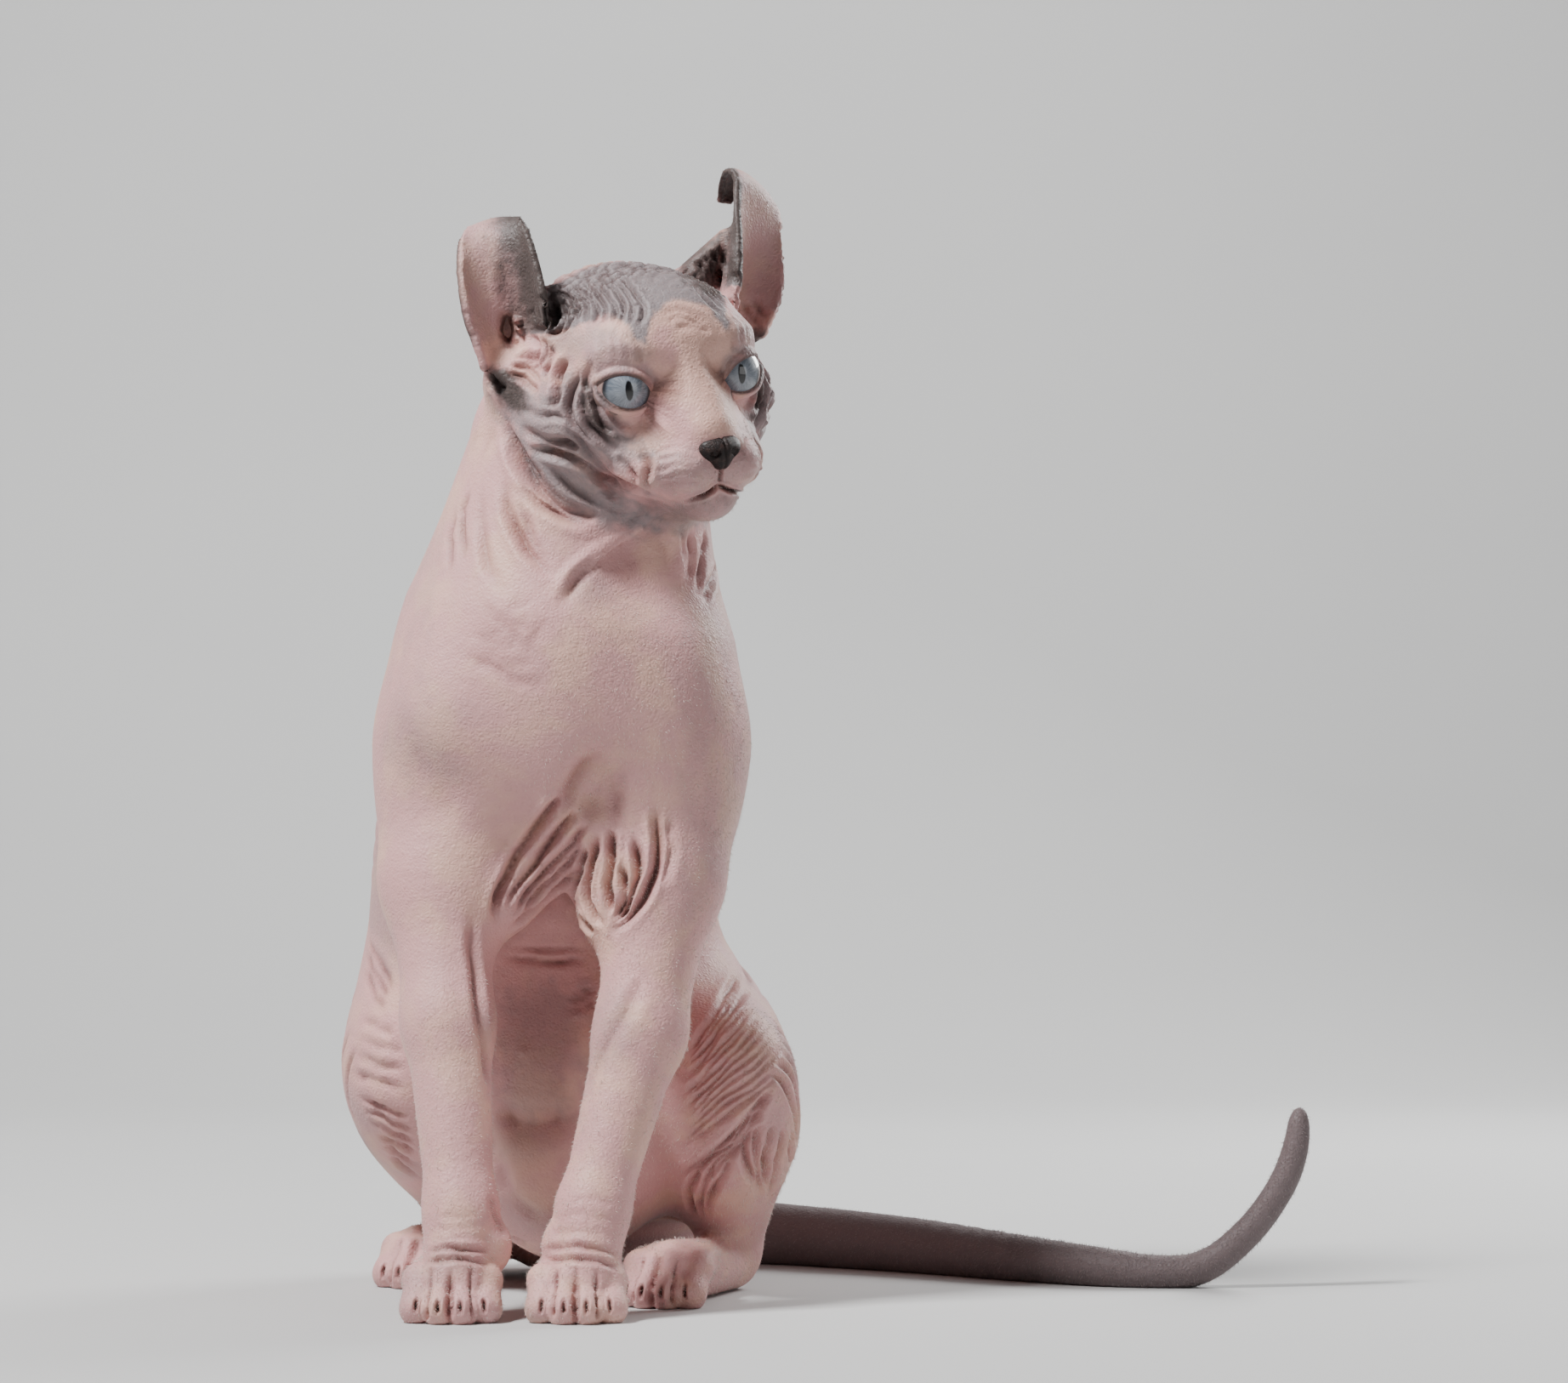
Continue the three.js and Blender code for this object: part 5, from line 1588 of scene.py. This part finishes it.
def main() -> None:
    """Builds the cat and its studio."""
    logging.basicConfig(level=logging.INFO, format="%(message)s")
    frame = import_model()
    deselect()
    masses = Trunk().masses()
    for hindleg in HINDLEGS.values():
        masses += hindleg.masses()
    for foreleg in FORELEGS.values():
        masses += foreleg.masses()
    masses += HEAD.masses() + Tail().masses()
    for ear in EARS.values():
        start, first, end, last = ear.root
        masses.append(moved(Limb(start, first, end, last, 9), HEAD.pose))
    flesh = Flesh(masses, EARS.values())
    skin = Skin(flesh).build()
    claws = Claws().build()
    claws.data.materials.append(HornFinish().build())
    finished(claws, [])
    down = Down(skin, 11).build()
    down.data.materials.append(DownFinish().build())
    finished(down, [])
    nodes = [name for name in frame["nodes"] if not name.startswith(("eye", "nose"))]
    finished(skin, nodes)
    for name, ear in EARS.items():
        eye = Eyes().build(ear.side, f"eye_front_{name}")
        eye.data.materials.append(IrisFinish().build())
        finished(eye, [f"eye_{name}"])
    nose = Nose().build()
    nose.data.materials.append(NoseFinish().build())
    finished(nose, ["nose"])
    Studio().build()


FEET = tuple(leg.toes for leg in (*FORELEGS.values(), *HINDLEGS.values()))


class Skin:
    """The one skin over the whole cat, with its folds, lids, lips and markings."""

    FINE_CELL = 1.3
    QUICK_CELL = 1.6
    TRIANGLES = 198000

    def __init__(self, flesh: Flesh) -> None:
        """Keeps the form that the skin follows."""
        self.flesh = flesh

    def build(self) -> bpy.types.Object:
        """Makes the skin in millimetres."""
        skin = Blank(self.flesh, self.FINE_CELL, EARS.values()).build("skin")
        tracer = Tracer(skin, 7)
        families = [*FACE_FOLDS, *EAR_FOLDS, *NECK_FOLDS, *CHEST_FOLDS, *BELLY_FOLDS, *LEG_FOLDS, *HAUNCH_FOLDS,
                    *UNSEEN_FOLDS]
        for toes in FEET:
            families += toe_folds(toes)
        runs = [run for folds in families for run in tracer.trace(folds)]
        runs += self.lips(tracer)
        LOG.info("folds: %d", len(runs))
        self.refine(skin)
        points = read_points(skin)
        points = self.swollen(points, read_normals(skin), tracer)
        for side in (-1, 1):
            points = Lids(side, Eyes().radius).shaped(points)
        write_points(skin, points)
        carver = Carver(points, read_normals(skin))
        for run in runs:
            carver.carve(run)
        points = self.toe_tips(points)
        rise, groove_shade = self.crown(points)
        points = points + carver.normals * (carver.shift() + rise)[:, None]
        points[:, 2] = np.maximum(points[:, 2], 0.0)
        write_points(skin, points)
        # The crease value is painted shade with a reddish blush along the folds and in the crown's grooves.
        store(skin, "crease", np.clip(np.maximum(carver.blush_and_shade, groove_shade), 0.0, 2.0))
        thinned(skin, self.TRIANGLES)
        # Painted shade in every hollow of the skin.
        self.shade_hollows(skin)
        Markings().paint(skin)
        skin.data.materials.append(SkinFinish().build())
        return skin

    @staticmethod
    def shade_hollows(skin: bpy.types.Object, rounds: int = 16) -> None:
        """Paints shade on the corners that lie below the skin round them, by raising their crease value."""
        points = read_points(skin)
        ends = np.empty(len(skin.data.edges) * 2, int)
        skin.data.edges.foreach_get("vertices", ends)
        first, second = ends.reshape(-1, 2).T
        count = np.bincount(ends, minlength=len(points))
        smooth = points.copy()
        for _ in range(rounds):
            for axis in range(3):
                line = smooth[:, axis]
                total = np.bincount(first, line[second], len(points)) + np.bincount(second, line[first], len(points))
                smooth[:, axis] = 0.5 * (line + total / np.maximum(count, 1))
        below = np.einsum("ij,ij->i", smooth - points, read_normals(skin))
        crease = np.empty(len(points), np.float32)
        skin.data.attributes["crease"].data.foreach_get("value", crease)
        # Painted shade: the deeper a corner lies in a hollow, the darker it is painted.
        skin.data.attributes["crease"].data.foreach_set(
            "value", np.maximum(crease, np.clip(below * 0.6 - 0.12, 0.0, 0.9)).astype(np.float32)
        )

    @staticmethod
    def swollen(points: Array, normals: Array, tracer: Tracer) -> Array:
        """Raises the swells and sinks the hollows."""
        shift = np.zeros(len(points))
        for swell in SWELLS:
            centres, _ = tracer.thrown(swell.sight, np.array([swell.mark], float))
            if swell.mirrored:
                centres = np.concatenate([centres, HEAD.mirrored(centres)])
            for centre in centres:
                near = np.exp(-((length_of(points - centre) / swell.radius) ** 2))
                shift += swell.height * near
        return points + normals * shift[:, None]

    @staticmethod
    def refine(skin: bpy.types.Object) -> None:
        """Makes the mesh finer over the face and the feet, and finest round the eyes and the mouth."""
        world = read_points(skin)
        points = HEAD.pose.into(world)
        chosen = (points[:, 1] < 30) & (points[:, 2] > -58) & (np.abs(points[:, 0]) < 58) & (length_of(points) < 85)
        for toes in FEET:
            chosen |= (length_of(world - np.array(toes.pose.at)) < 25.0) & (world[:, 2] > 0.3)
        finer(skin, chosen)
        points = read_points(skin)
        close = np.zeros(len(points), bool)
        for side in (-1, 1):
            local = HEAD.eye_pose(side).into(points)
            close |= (length_of(local) < 16.0) & (local[:, 1] < 1.0)
        mouth = HEAD.pose.into(points)
        close |= (mouth[:, 1] < -44) & (mouth[:, 2] < -18)
        finer(skin, close)

    @staticmethod
    def toe_tips(points: Array) -> Array:
        """Rounds the front of each toe."""
        for toes in FEET:
            for index in range(4):
                _, knee, tip = toes.joints(index)
                centres = toes.pose.out(np.array([tip, knee], float))
                for centre, radius, rise in ((centres[0], 6.6, 1.3), (centres[1], 6.0, 0.7)):
                    away = points - centre
                    far = np.maximum(length_of(away), 1e-6)
                    lift = rise * np.exp(-((np.maximum(far - radius * 0.6, 0.0) / (radius * 0.5)) ** 2))
                    points = points + away / far[:, None] * (lift * (points[:, 2] > 0.6))[:, None]
        return points

    @staticmethod
    def lips(tracer: Tracer) -> list[Run]:
        """Traces the line of the mouth and the groove under the nose, with painted shade along both."""
        front = Sight(Pose().inside(HEAD.pose), start=120.0, step=0.8)
        # The groove under the nose and the mouth line are painted dark as shade; the mouth line goes near black.
        groove = Folds(front, ((0.8, -25), (0.8, -28), (0.6, -31.5)), depth=1.8, width=0.8, lift=0.3, blush_and_shade=1.0,
                       ends=0.05, stray=0.0)
        runs = tracer.trace(groove)
        near = Folds(PHOTO, ((849, 566), (831, 581), (806, 590), (785, 595), (768, 590), (756, 580), (752, 568)),
                     depth=2.0, width=0.9, lift=0.5, blush_and_shade=1.6, ends=0.12, stray=0.0, mirrored=True)
        return runs + tracer.trace(near)

    @staticmethod
    def crown(points: Array) -> tuple[Array, Array]:
        """Gives the net of small bumps between the ears and down to the brow, and the painted shade in its grooves."""
        local = HEAD.pose.into(points)
        inside = smoothstep(local[:, 2], 24.0, 32.0) * smoothstep(45.0 - np.abs(local[:, 0]), 0.0, 8.0)
        inside = inside * smoothstep(local[:, 1], -30.0, -14.0) * smoothstep(48.0 - local[:, 1], 0.0, 10.0)
        outside = length_of((local - np.array([0.0, 12.0, 10.0])) / np.array([41.0, 44.0, 35.0]))
        inside = inside * (1.0 - smoothstep(outside, 1.1, 1.24))
        rise = np.zeros(len(points))
        groove_shade = np.zeros(len(points))
        for n in np.nonzero(inside > 0.02)[0]:
            x, y, z = local[n]
            gaps, _ = noise.voronoi(Vector((x / 5.4, y / 4.0, z / 5.4)))
            edge = min((gaps[1] - gaps[0]) * 2.2, 1.0)
            rise[n] = inside[n] * (1.3 * edge - 0.9)
            # Painted shade along the grooves between the bumps.
            groove_shade[n] = inside[n] * 1.1 * (1.0 - edge) ** 2
        return rise, groove_shade


class Markings:
    """Where the skin is grey, brown, warm, red or black, told as values on its corners; some of the grey and brown, on
    the chin, the belly and in the pit of an ear, is painted shade.
    """

    def paint(self, skin: bpy.types.Object) -> None:
        """Stores the values on the skin."""
        for name, values in self.values(read_points(skin)).items():
            store(skin, name, values)

    def values(self, points: Array) -> dict[str, Array]:
        """Works out the values at points."""
        head = HEAD.pose.into(points)
        nearside = HEAD.pose.out(head * np.array([0.0, 1.0, 1.0]) - np.abs(head) * np.array([1.0, 0.0, 0.0]))
        stray = Ripple(9.0, 3)(points) * 0.1 + Ripple(3.4, 4)(points) * 0.08
        skull = 1.0 - smoothstep(length_of((head - np.array([0, -2, 2])) / np.array([62, 76, 66])), 0.9, 1.15)
        rear = smoothstep(head[:, 1] + 12.0 * stray, 8.0, 34.0)
        front = skull * (1.0 - rear)
        high = smoothstep(head[:, 2], 20.0, 34.0)
        left = smoothstep(head[:, 0], -2.0, 2.0)
        grey = 0.7 * rear * skull * smoothstep(head[:, 2] + 14.0 * stray, -6.0, 34.0)
        for patch in HEAD_GREY:
            grey = np.maximum(grey, patch.over(nearside, stray) * front)
        brown = np.zeros(len(points))
        for patch in HEAD_BROWN:
            brown = np.maximum(brown, patch.over(nearside, stray) * front)
        for patch in FAR_EAR_BROWN:
            brown = np.maximum(brown, patch.over(points, stray) * left * high)
        red = CONCHA_RED.over(points, stray) * (1.0 - left)
        for ear in EARS.values():
            brown, grey, red = self.on_ear(ear, points, stray, brown, grey, red)
        # Painted shade in the pit of the near ear's cup.
        brown = np.maximum(brown, CONCHA_PIT_SHADE.over(points, stray) * (1.0 - left))
        low = 1.0 - smoothstep(points[:, 2], 290.0, 310.0)
        for patch in BODY_GREY:
            grey = np.maximum(grey, patch.over(points, stray) * low)
        body = smoothstep(Ripple(90.0, 8)(points) + 0.5 * Ripple(30.0, 9)(points), 0.1, 1.6)
        tail = self.on_tail(points)
        grey = np.maximum(grey, np.maximum(0.35 * body * low, tail))
        blaze = np.exp(-(((head[:, 0] - 3) / 15) ** 2)) * smoothstep(-head[:, 1], 22.0, 34.0)
        blaze = blaze * smoothstep(head[:, 2], -16.0, -6.0)
        warm = np.clip(0.9 * blaze + 0.42 + 0.2 * Ripple(26.0, 5)(points) + 0.1 * Ripple(8.0, 6)(points), 0, 1)
        dark = np.zeros(len(points))
        for side in (-1, 1):
            lids = Lids(side, Eyes().radius)
            near = lids.near(points)
            local = lids.pose.into(points[near])
            gap = lids.beyond(local)
            wide = 0.5 + 0.5 * smoothstep(local[:, 2], -1.0, 3.0)
            dark[near] = np.maximum(dark[near], 0.85 * np.exp(-(((gap - 0.2) / wide) ** 2)))
            inner = smoothstep(-side * local[:, 0], 6.0, 10.0) * np.exp(-np.maximum(gap, 0.0) / 1.1)
            red[near] = np.maximum(red[near], 0.4 * inner)
            dark[near] *= 1.0 - 0.5 * inner
        return {"grey": grey, "brown": brown, "warm": warm, "dark": dark, "red": red, "tail": tail}

    @staticmethod
    def on_tail(points: Array) -> Array:
        """Tells which points are on the tail."""
        line, radii = Tail().line()
        found = np.zeros(len(points))
        near = np.nonzero((points[:, 2] < 95) & ((points[:, 1] > 40) | (points[:, 0] > 30)))[0]
        for centre, radius in zip(line, radii):
            start = smoothstep(centre[0], 14.0, 34.0)
            away = length_of(points[near] - centre) - radius
            found[near] = np.maximum(found[near], start * (1.0 - smoothstep(away, 2.5, 6.0)))
        return found

    @staticmethod
    def on_ear(ear: Ear, points: Array, stray: Array, brown: Array, grey: Array, red: Array) -> tuple:
        """Adds an ear's dark inner edge and crest, its grey back and its pink cup."""
        form = EarField(ear)
        near = form.near(points)
        gap, along, across, back = form.places(points[near])
        on = (1.0 - smoothstep(gap, 3.0, 5.0)) * smoothstep(along, 0.06, 0.2)
        inner = -ear.side * across + stray[near] * 0.5
        edge = smoothstep(inner, *ear.dark_edge) * (1.0 - 0.35 * smoothstep(along, 0.8, 1.0))
        crest = 0.6 * smoothstep(along + stray[near] * 0.12, 0.72, 0.95)
        behind = np.where(back > 0, 0.8, 0.0)
        brown[near] = np.maximum(brown[near] * (1 - on), on * np.maximum(np.maximum(edge, crest), behind))
        grey[near] = np.where(on > 0.5, np.maximum(0.35, edge), grey[near])
        cup = on * (back < 0) * np.exp(-((across / 0.5) ** 2)) * (1.0 - smoothstep(along, 0.2, 0.7))
        red[near] = np.maximum(red[near] * (1.0 - 0.8 * on * edge), 0.18 * cup * (1.0 - edge))
        return brown, grey, red


class Wire:
    """A socket of a node tree that can be reckoned with like a number."""

    def __init__(self, tree: bpy.types.NodeTree, socket: bpy.types.NodeSocket) -> None:
        """Keeps the socket and its tree."""
        self.tree = tree
        self.socket = socket

    def worked(self, operation: str, *values: Any) -> Wire:
        """Adds a Math node that works on values or sockets."""
        node = self.tree.nodes.new("ShaderNodeMath")
        node.operation = operation
        for index, value in enumerate(values):
            if isinstance(value, Wire):
                self.tree.links.new(value.socket, node.inputs[index])
            else:
                node.inputs[index].default_value = value
        return Wire(self.tree, node.outputs[0])

    def __add__(self, other: Wire | float) -> Wire:
        """Adds."""
        return self.worked("ADD", self, other)

    __radd__ = __add__

    def __mul__(self, other: Wire | float) -> Wire:
        """Multiplies."""
        return self.worked("MULTIPLY", self, other)

    __rmul__ = __mul__

    def __sub__(self, other: Wire | float) -> Wire:
        """Takes another from this."""
        return self.worked("SUBTRACT", self, other)

    def __rsub__(self, other: float) -> Wire:
        """Takes this from another."""
        return self.worked("SUBTRACT", other, self)

    def __truediv__(self, other: Wire | float) -> Wire:
        """Divides by another."""
        return self.worked("DIVIDE", self, other)

    def __pow__(self, other: float) -> Wire:
        """Raises to a power."""
        return self.worked("POWER", self, other)

    def within(self, low: float, high: float) -> Wire:
        """Rises smoothly from 0 at low to 1 at high."""
        node = self.tree.nodes.new("ShaderNodeMapRange")
        node.interpolation_type = "SMOOTHSTEP"
        self.tree.links.new(self.socket, node.inputs["Value"])
        node.inputs["From Min"].default_value = low
        node.inputs["From Max"].default_value = high
        return Wire(self.tree, node.outputs["Result"])


Colour = tuple[float, float, float]


class Blend(Enum):
    """A way of laying one colour over another."""

    OVER = "MIX"
    MULTIPLY = "MULTIPLY"


class Finish:
    """A material that is built from nodes."""

    def __init__(self, name: str) -> None:
        """Starts the material with its plain shader."""
        self.material = bpy.data.materials.new(name)
        self.material.use_nodes = True
        self.tree = self.material.node_tree
        self.shader = self.tree.nodes["Principled BSDF"]

    def node(self, kind: str, settings: dict[str, Any] | None = None, **values: Any) -> bpy.types.Node:
        """Adds a node.

        Args:
            kind: the node's type without the word ShaderNode.
            settings: its own settings, such as a Math node's operation.
            values: a value or a wire for each input, named with _ for a space.
        """
        made = self.tree.nodes.new(f"ShaderNode{kind}")
        for name, setting in (settings or {}).items():
            setattr(made, name, setting)
        for name, value in values.items():
            self.feed(made.inputs[name.replace("_", " ")], value)
        return made

    def feed(self, socket: bpy.types.NodeSocket, value: Any) -> None:
        """Gives an input a value or a wire."""
        if isinstance(value, Wire):
            self.tree.links.new(value.socket, socket)
        elif isinstance(value, tuple) and len(value) == 3 and socket.type == "RGBA":
            socket.default_value = (*value, 1.0)
        else:
            socket.default_value = value

    def read(self, name: str) -> Wire:
        """Reads a value that is stored on the mesh."""
        return Wire(self.tree, self.node("Attribute", {"attribute_name": name}).outputs["Fac"])

    def noise(self, scale: float, detail: float = 3.0, roughness: float = 0.55) -> Wire:
        """Reads a wandering value about 0.5 over the object, its scale in waves a metre."""
        made = self.node("TexNoise", None, Vector=self.place(), Scale=scale, Detail=detail, Roughness=roughness)
        return Wire(self.tree, made.outputs["Fac"])

    def cells(self, scale: float) -> Wire:
        """Reads a value of small cells over the object."""
        made = self.node("TexVoronoi", {"feature": "DISTANCE_TO_EDGE"}, Vector=self.place(), Scale=scale)
        return Wire(self.tree, made.outputs["Distance"])

    def place(self) -> Wire:
        """Reads the place on the object."""
        return Wire(self.tree, self.node("TexCoord").outputs["Object"])

    def mixed(
        self, share: Wire | float, first: Wire | Colour, second: Wire | Colour, way: Blend = Blend.OVER
    ) -> Wire:
        """Mixes two colours."""
        made = self.node("Mix", {"data_type": "RGBA", "blend_type": way.value})
        self.feed(made.inputs[0], share)
        self.feed(made.inputs[6], first)
        self.feed(made.inputs[7], second)
        return Wire(self.tree, made.outputs[2])

    def bumped(self, height: Wire, depth: float, before: Wire | None = None) -> Wire:
        """Turns a height into a change of the surface's direction."""
        made = self.node("Bump", None, Height=height, Distance=depth)
        if before is not None:
            self.feed(made.inputs["Normal"], before)
        return Wire(self.tree, made.outputs["Normal"])

    def dress(self, **values: Any) -> bpy.types.Material:
        """Feeds the shader's inputs, and gives the material."""
        for name, value in values.items():
            self.feed(self.shader.inputs[name.replace("_", " ")], value)
        return self.material


@dataclass(frozen=True)
class SkinFinish:
    """Bare skin: pink and ochre, with grey and brown markings, painted shade with a reddish blush in its creases and
    hollows, and a fine grain.
    """

    pink: Colour = (0.62, 0.335, 0.325)
    ochre: Colour = (0.68, 0.405, 0.335)
    grey: Colour = (0.235, 0.195, 0.2)
    brown: Colour = (0.07, 0.052, 0.048)
    # Painted shade with a reddish tint, laid over creases and hollows.
    crease: Colour = (0.2, 0.105, 0.09)
    red: Colour = (0.5, 0.13, 0.1)
    # Black serves the dark lid margins and the painted deep shade at the bottom of the deepest creases.
    black: Colour = (0.03, 0.018, 0.016)
    tail: Colour = (0.155, 0.118, 0.12)

    def build(self) -> bpy.types.Material:
        """Makes the material."""
        made = Finish("bare skin")
        mottle = made.noise(140.0)
        speck = made.noise(420.0, 4.0)
        blush = (made.read("warm") + (mottle - 0.5) * 0.6).within(0.2, 0.9)
        base = made.mixed(blush, self.pink, self.ochre)
        base = made.mixed((made.read("grey") * (0.75 + (speck * 0.5))).within(0.0, 1.0), base, self.grey)
        base = made.mixed(made.read("tail"), base, self.tail)
        base = made.mixed((made.read("brown") * (0.7 + (speck * 0.6))).within(0.0, 1.0), base, self.brown)
        base = made.mixed(made.read("red"), base, self.red)
        # Painted shade: the crease value darkens the colour with a reddish tint, and past 1 paints it black.
        shade = made.read("crease").worked("MINIMUM", made.read("crease") * 0.8, 0.92)
        base = made.mixed(shade, base, self.crease, Blend.MULTIPLY)
        base = made.mixed((made.read("crease") - 1.0).within(0.0, 0.8), base, self.black)
        base = made.mixed(made.read("dark"), base, self.black)
        normal = made.bumped(made.cells(620.0), 0.0003)
        normal = made.bumped(made.noise(300.0, 4.0), 0.0004, normal)
        return made.dress(
            Base_Color=base, Roughness=0.5 + (mottle * 0.1), Normal=normal, Subsurface_Weight=0.05,
            Subsurface_Radius=(0.005, 0.002, 0.0013), Subsurface_Scale=1.0, Sheen_Weight=0.07, Sheen_Roughness=0.45,
            Sheen_Tint=(0.95, 0.88, 0.86, 1.0), Specular_IOR_Level=0.35,
        )


@dataclass(frozen=True)
class DownFinish:
    """Pale down that takes the markings of the skin under it."""

    pale: Colour = (0.72, 0.6, 0.55)
    grey: Colour = (0.42, 0.38, 0.38)
    brown: Colour = (0.16, 0.13, 0.12)
    tail: Colour = (0.3, 0.25, 0.245)

    def build(self) -> bpy.types.Material:
        """Makes the material."""
        made = Finish("down")
        base = made.mixed(made.read("grey"), self.pale, self.grey)
        base = made.mixed(made.read("tail"), base, self.tail)
        base = made.mixed(made.read("brown"), base, self.brown)
        return made.dress(Base_Color=base, Roughness=0.7, Specular_IOR_Level=0.2)


@dataclass(frozen=True)
class HornFinish:
    """Dark, smooth horn."""

    dark: Colour = (0.05, 0.032, 0.026)
    pale: Colour = (0.2, 0.14, 0.11)

    def build(self) -> bpy.types.Material:
        """Makes the material."""
        made = Finish("claw horn")
        base = made.mixed(made.noise(300.0).within(0.3, 0.8), self.dark, self.pale)
        return made.dress(Base_Color=base, Roughness=0.3)


@dataclass(frozen=True)
class IrisFinish:
    """A pale blue iris with an upright pupil under a wet clear front."""

    pale: Colour = (0.265, 0.29, 0.33)
    blue: Colour = (0.11, 0.13, 0.16)
    rim: Colour = (0.02, 0.02, 0.025)
    white: Colour = (0.3, 0.2, 0.18)

    def build(self) -> bpy.types.Material:
        """Makes the material."""
        made = Finish("eye")
        x = made.read("iris_x")
        z = made.read("iris_z")
        r = (x * x + z * z) ** 0.5
        angle = x.worked("ARCTAN2", x, z)
        rays = made.node("TexNoise", {"noise_dimensions": "2D"}, Scale=1.0, Detail=4.0, Roughness=0.7)
        place = made.node("CombineXYZ", None, X=angle * 9.0, Y=r * 0.35)
        made.feed(rays.inputs["Vector"], Wire(made.tree, place.outputs[0]))
        fibres = Wire(made.tree, rays.outputs["Fac"])
        shade = (fibres * 0.9 + (r / 16.0)).within(0.45, 1.05)
        base = made.mixed(shade, self.pale, self.blue)
        base = made.mixed(r.within(7.3, 8.7), base, self.rim)
        base = made.mixed(r.within(8.9, 9.6), base, self.white)
        slit = ((x / 1.5) * (x / 1.5) + (z / 3.9) * (z / 3.9)) ** 0.5
        base = made.mixed(1.0 - slit.within(0.85, 1.1), base, (0.003, 0.003, 0.004))
        return made.dress(Base_Color=base, Roughness=0.35, Coat_Weight=1.0, Coat_Roughness=0.02,
                          Specular_IOR_Level=0.3)


@dataclass(frozen=True)
class NoseFinish:
    """Dark, finely pebbled and slightly moist nose leather."""

    dark: Colour = (0.01, 0.006, 0.006)
    brown: Colour = (0.04, 0.021, 0.018)

    def build(self) -> bpy.types.Material:
        """Makes the material."""
        made = Finish("nose leather")
        base = made.mixed(made.noise(500.0).within(0.35, 0.75), self.dark, self.brown)
        normal = made.bumped(made.cells(1500.0), 0.00035)
        return made.dress(Base_Color=base, Roughness=0.42 + (made.noise(700.0) * 0.15), Normal=normal,
                          Coat_Weight=0.08, Coat_Roughness=0.3, Specular_IOR_Level=0.25)


class Studio:
    """The floor, the lights and the camera, with the lens in millimetres and the floor in metres."""

    lens = 120.0
    sensor = 36.0
    width = 7.0
    depth = 6.0
    front = 2.6
    level = 1.2
    curve = 0.9

    def build(self) -> None:
        """Makes all three."""
        self.floor()
        self.lamp("key", (-860, -660, 1750), 380, 74.0, (0, -60, 230))
        self.lamp("fill", (1300, -1100, 520), 900, 5.0, (0, -60, 200))
        self.lamp("rim", (900, 900, 900), 600, 22.0, (0, -60, 230))
        self.lamp("backdrop", (0, 1300, 1900), 1600, 34.0, (0, 2900, 500))
        world = bpy.data.worlds.new("studio")
        world.use_nodes = True
        world.node_tree.nodes["Background"].inputs["Color"].default_value = (0.82, 0.83, 0.85, 1.0)
        world.node_tree.nodes["Background"].inputs["Strength"].default_value = 0.05
        bpy.context.scene.world = world
        self.camera()

    def floor(self) -> None:
        """Lays a pale sheet that curves up behind the cat."""
        deselect()
        bpy.ops.mesh.primitive_grid_add(x_subdivisions=2, y_subdivisions=60, size=1.0)
        sheet = bpy.context.object
        sheet.name = "floor"
        points = read_points(sheet)
        along = (points[:, 1] + 0.5) * self.depth - self.front
        bend = np.clip((along - self.level) / self.curve, 0.0, math.pi / 2)
        y = np.where(along < self.level, along, self.level + self.curve * np.sin(bend))
        rise = self.curve * (1 - np.cos(bend)) + np.maximum(along - self.level - self.curve * math.pi / 2, 0.0)
        up = np.where(along < self.level, 0.0, rise)
        write_points(sheet, np.stack([points[:, 0] * self.width, y, up], axis=1))
        bpy.ops.object.shade_smooth()
        paper = Finish("studio paper")
        tone = paper.mixed(paper.noise(3.0), (0.5, 0.5, 0.5), (0.54, 0.54, 0.535))
        sheet.data.materials.append(paper.dress(Base_Color=tone, Roughness=0.75))

    @staticmethod
    def lamp(name: str, at: Point, size: float, power: float, aim: Point) -> None:
        """Hangs a square lamp that faces a point."""
        bpy.ops.object.light_add(type="AREA")
        light = bpy.context.object
        light.name = name
        light.data.size = size / 1000.0
        light.data.energy = power
        place = Vector((np.array(at, float) - ORIGIN_MM) / 1000.0)
        target = Vector((np.array(aim, float) - ORIGIN_MM) / 1000.0)
        light.location = place
        light.rotation_euler = (target - place).to_track_quat("-Z", "Y").to_euler()

    def camera(self) -> None:
        """Places the camera at the photograph's viewing angle."""
        bpy.ops.object.camera_add()
        camera = bpy.context.object
        camera.location = Vector((np.array(CAMERA_AT) - ORIGIN_MM) / 1000.0)
        camera.rotation_euler = (math.radians(90.0 + CAMERA_TILT), 0.0, 0.0)
        camera.data.lens = self.lens
        camera.data.sensor_width = self.sensor
        camera.data.sensor_fit = "HORIZONTAL"
        bpy.context.scene.camera = camera


if __name__ == "__main__":
    main()
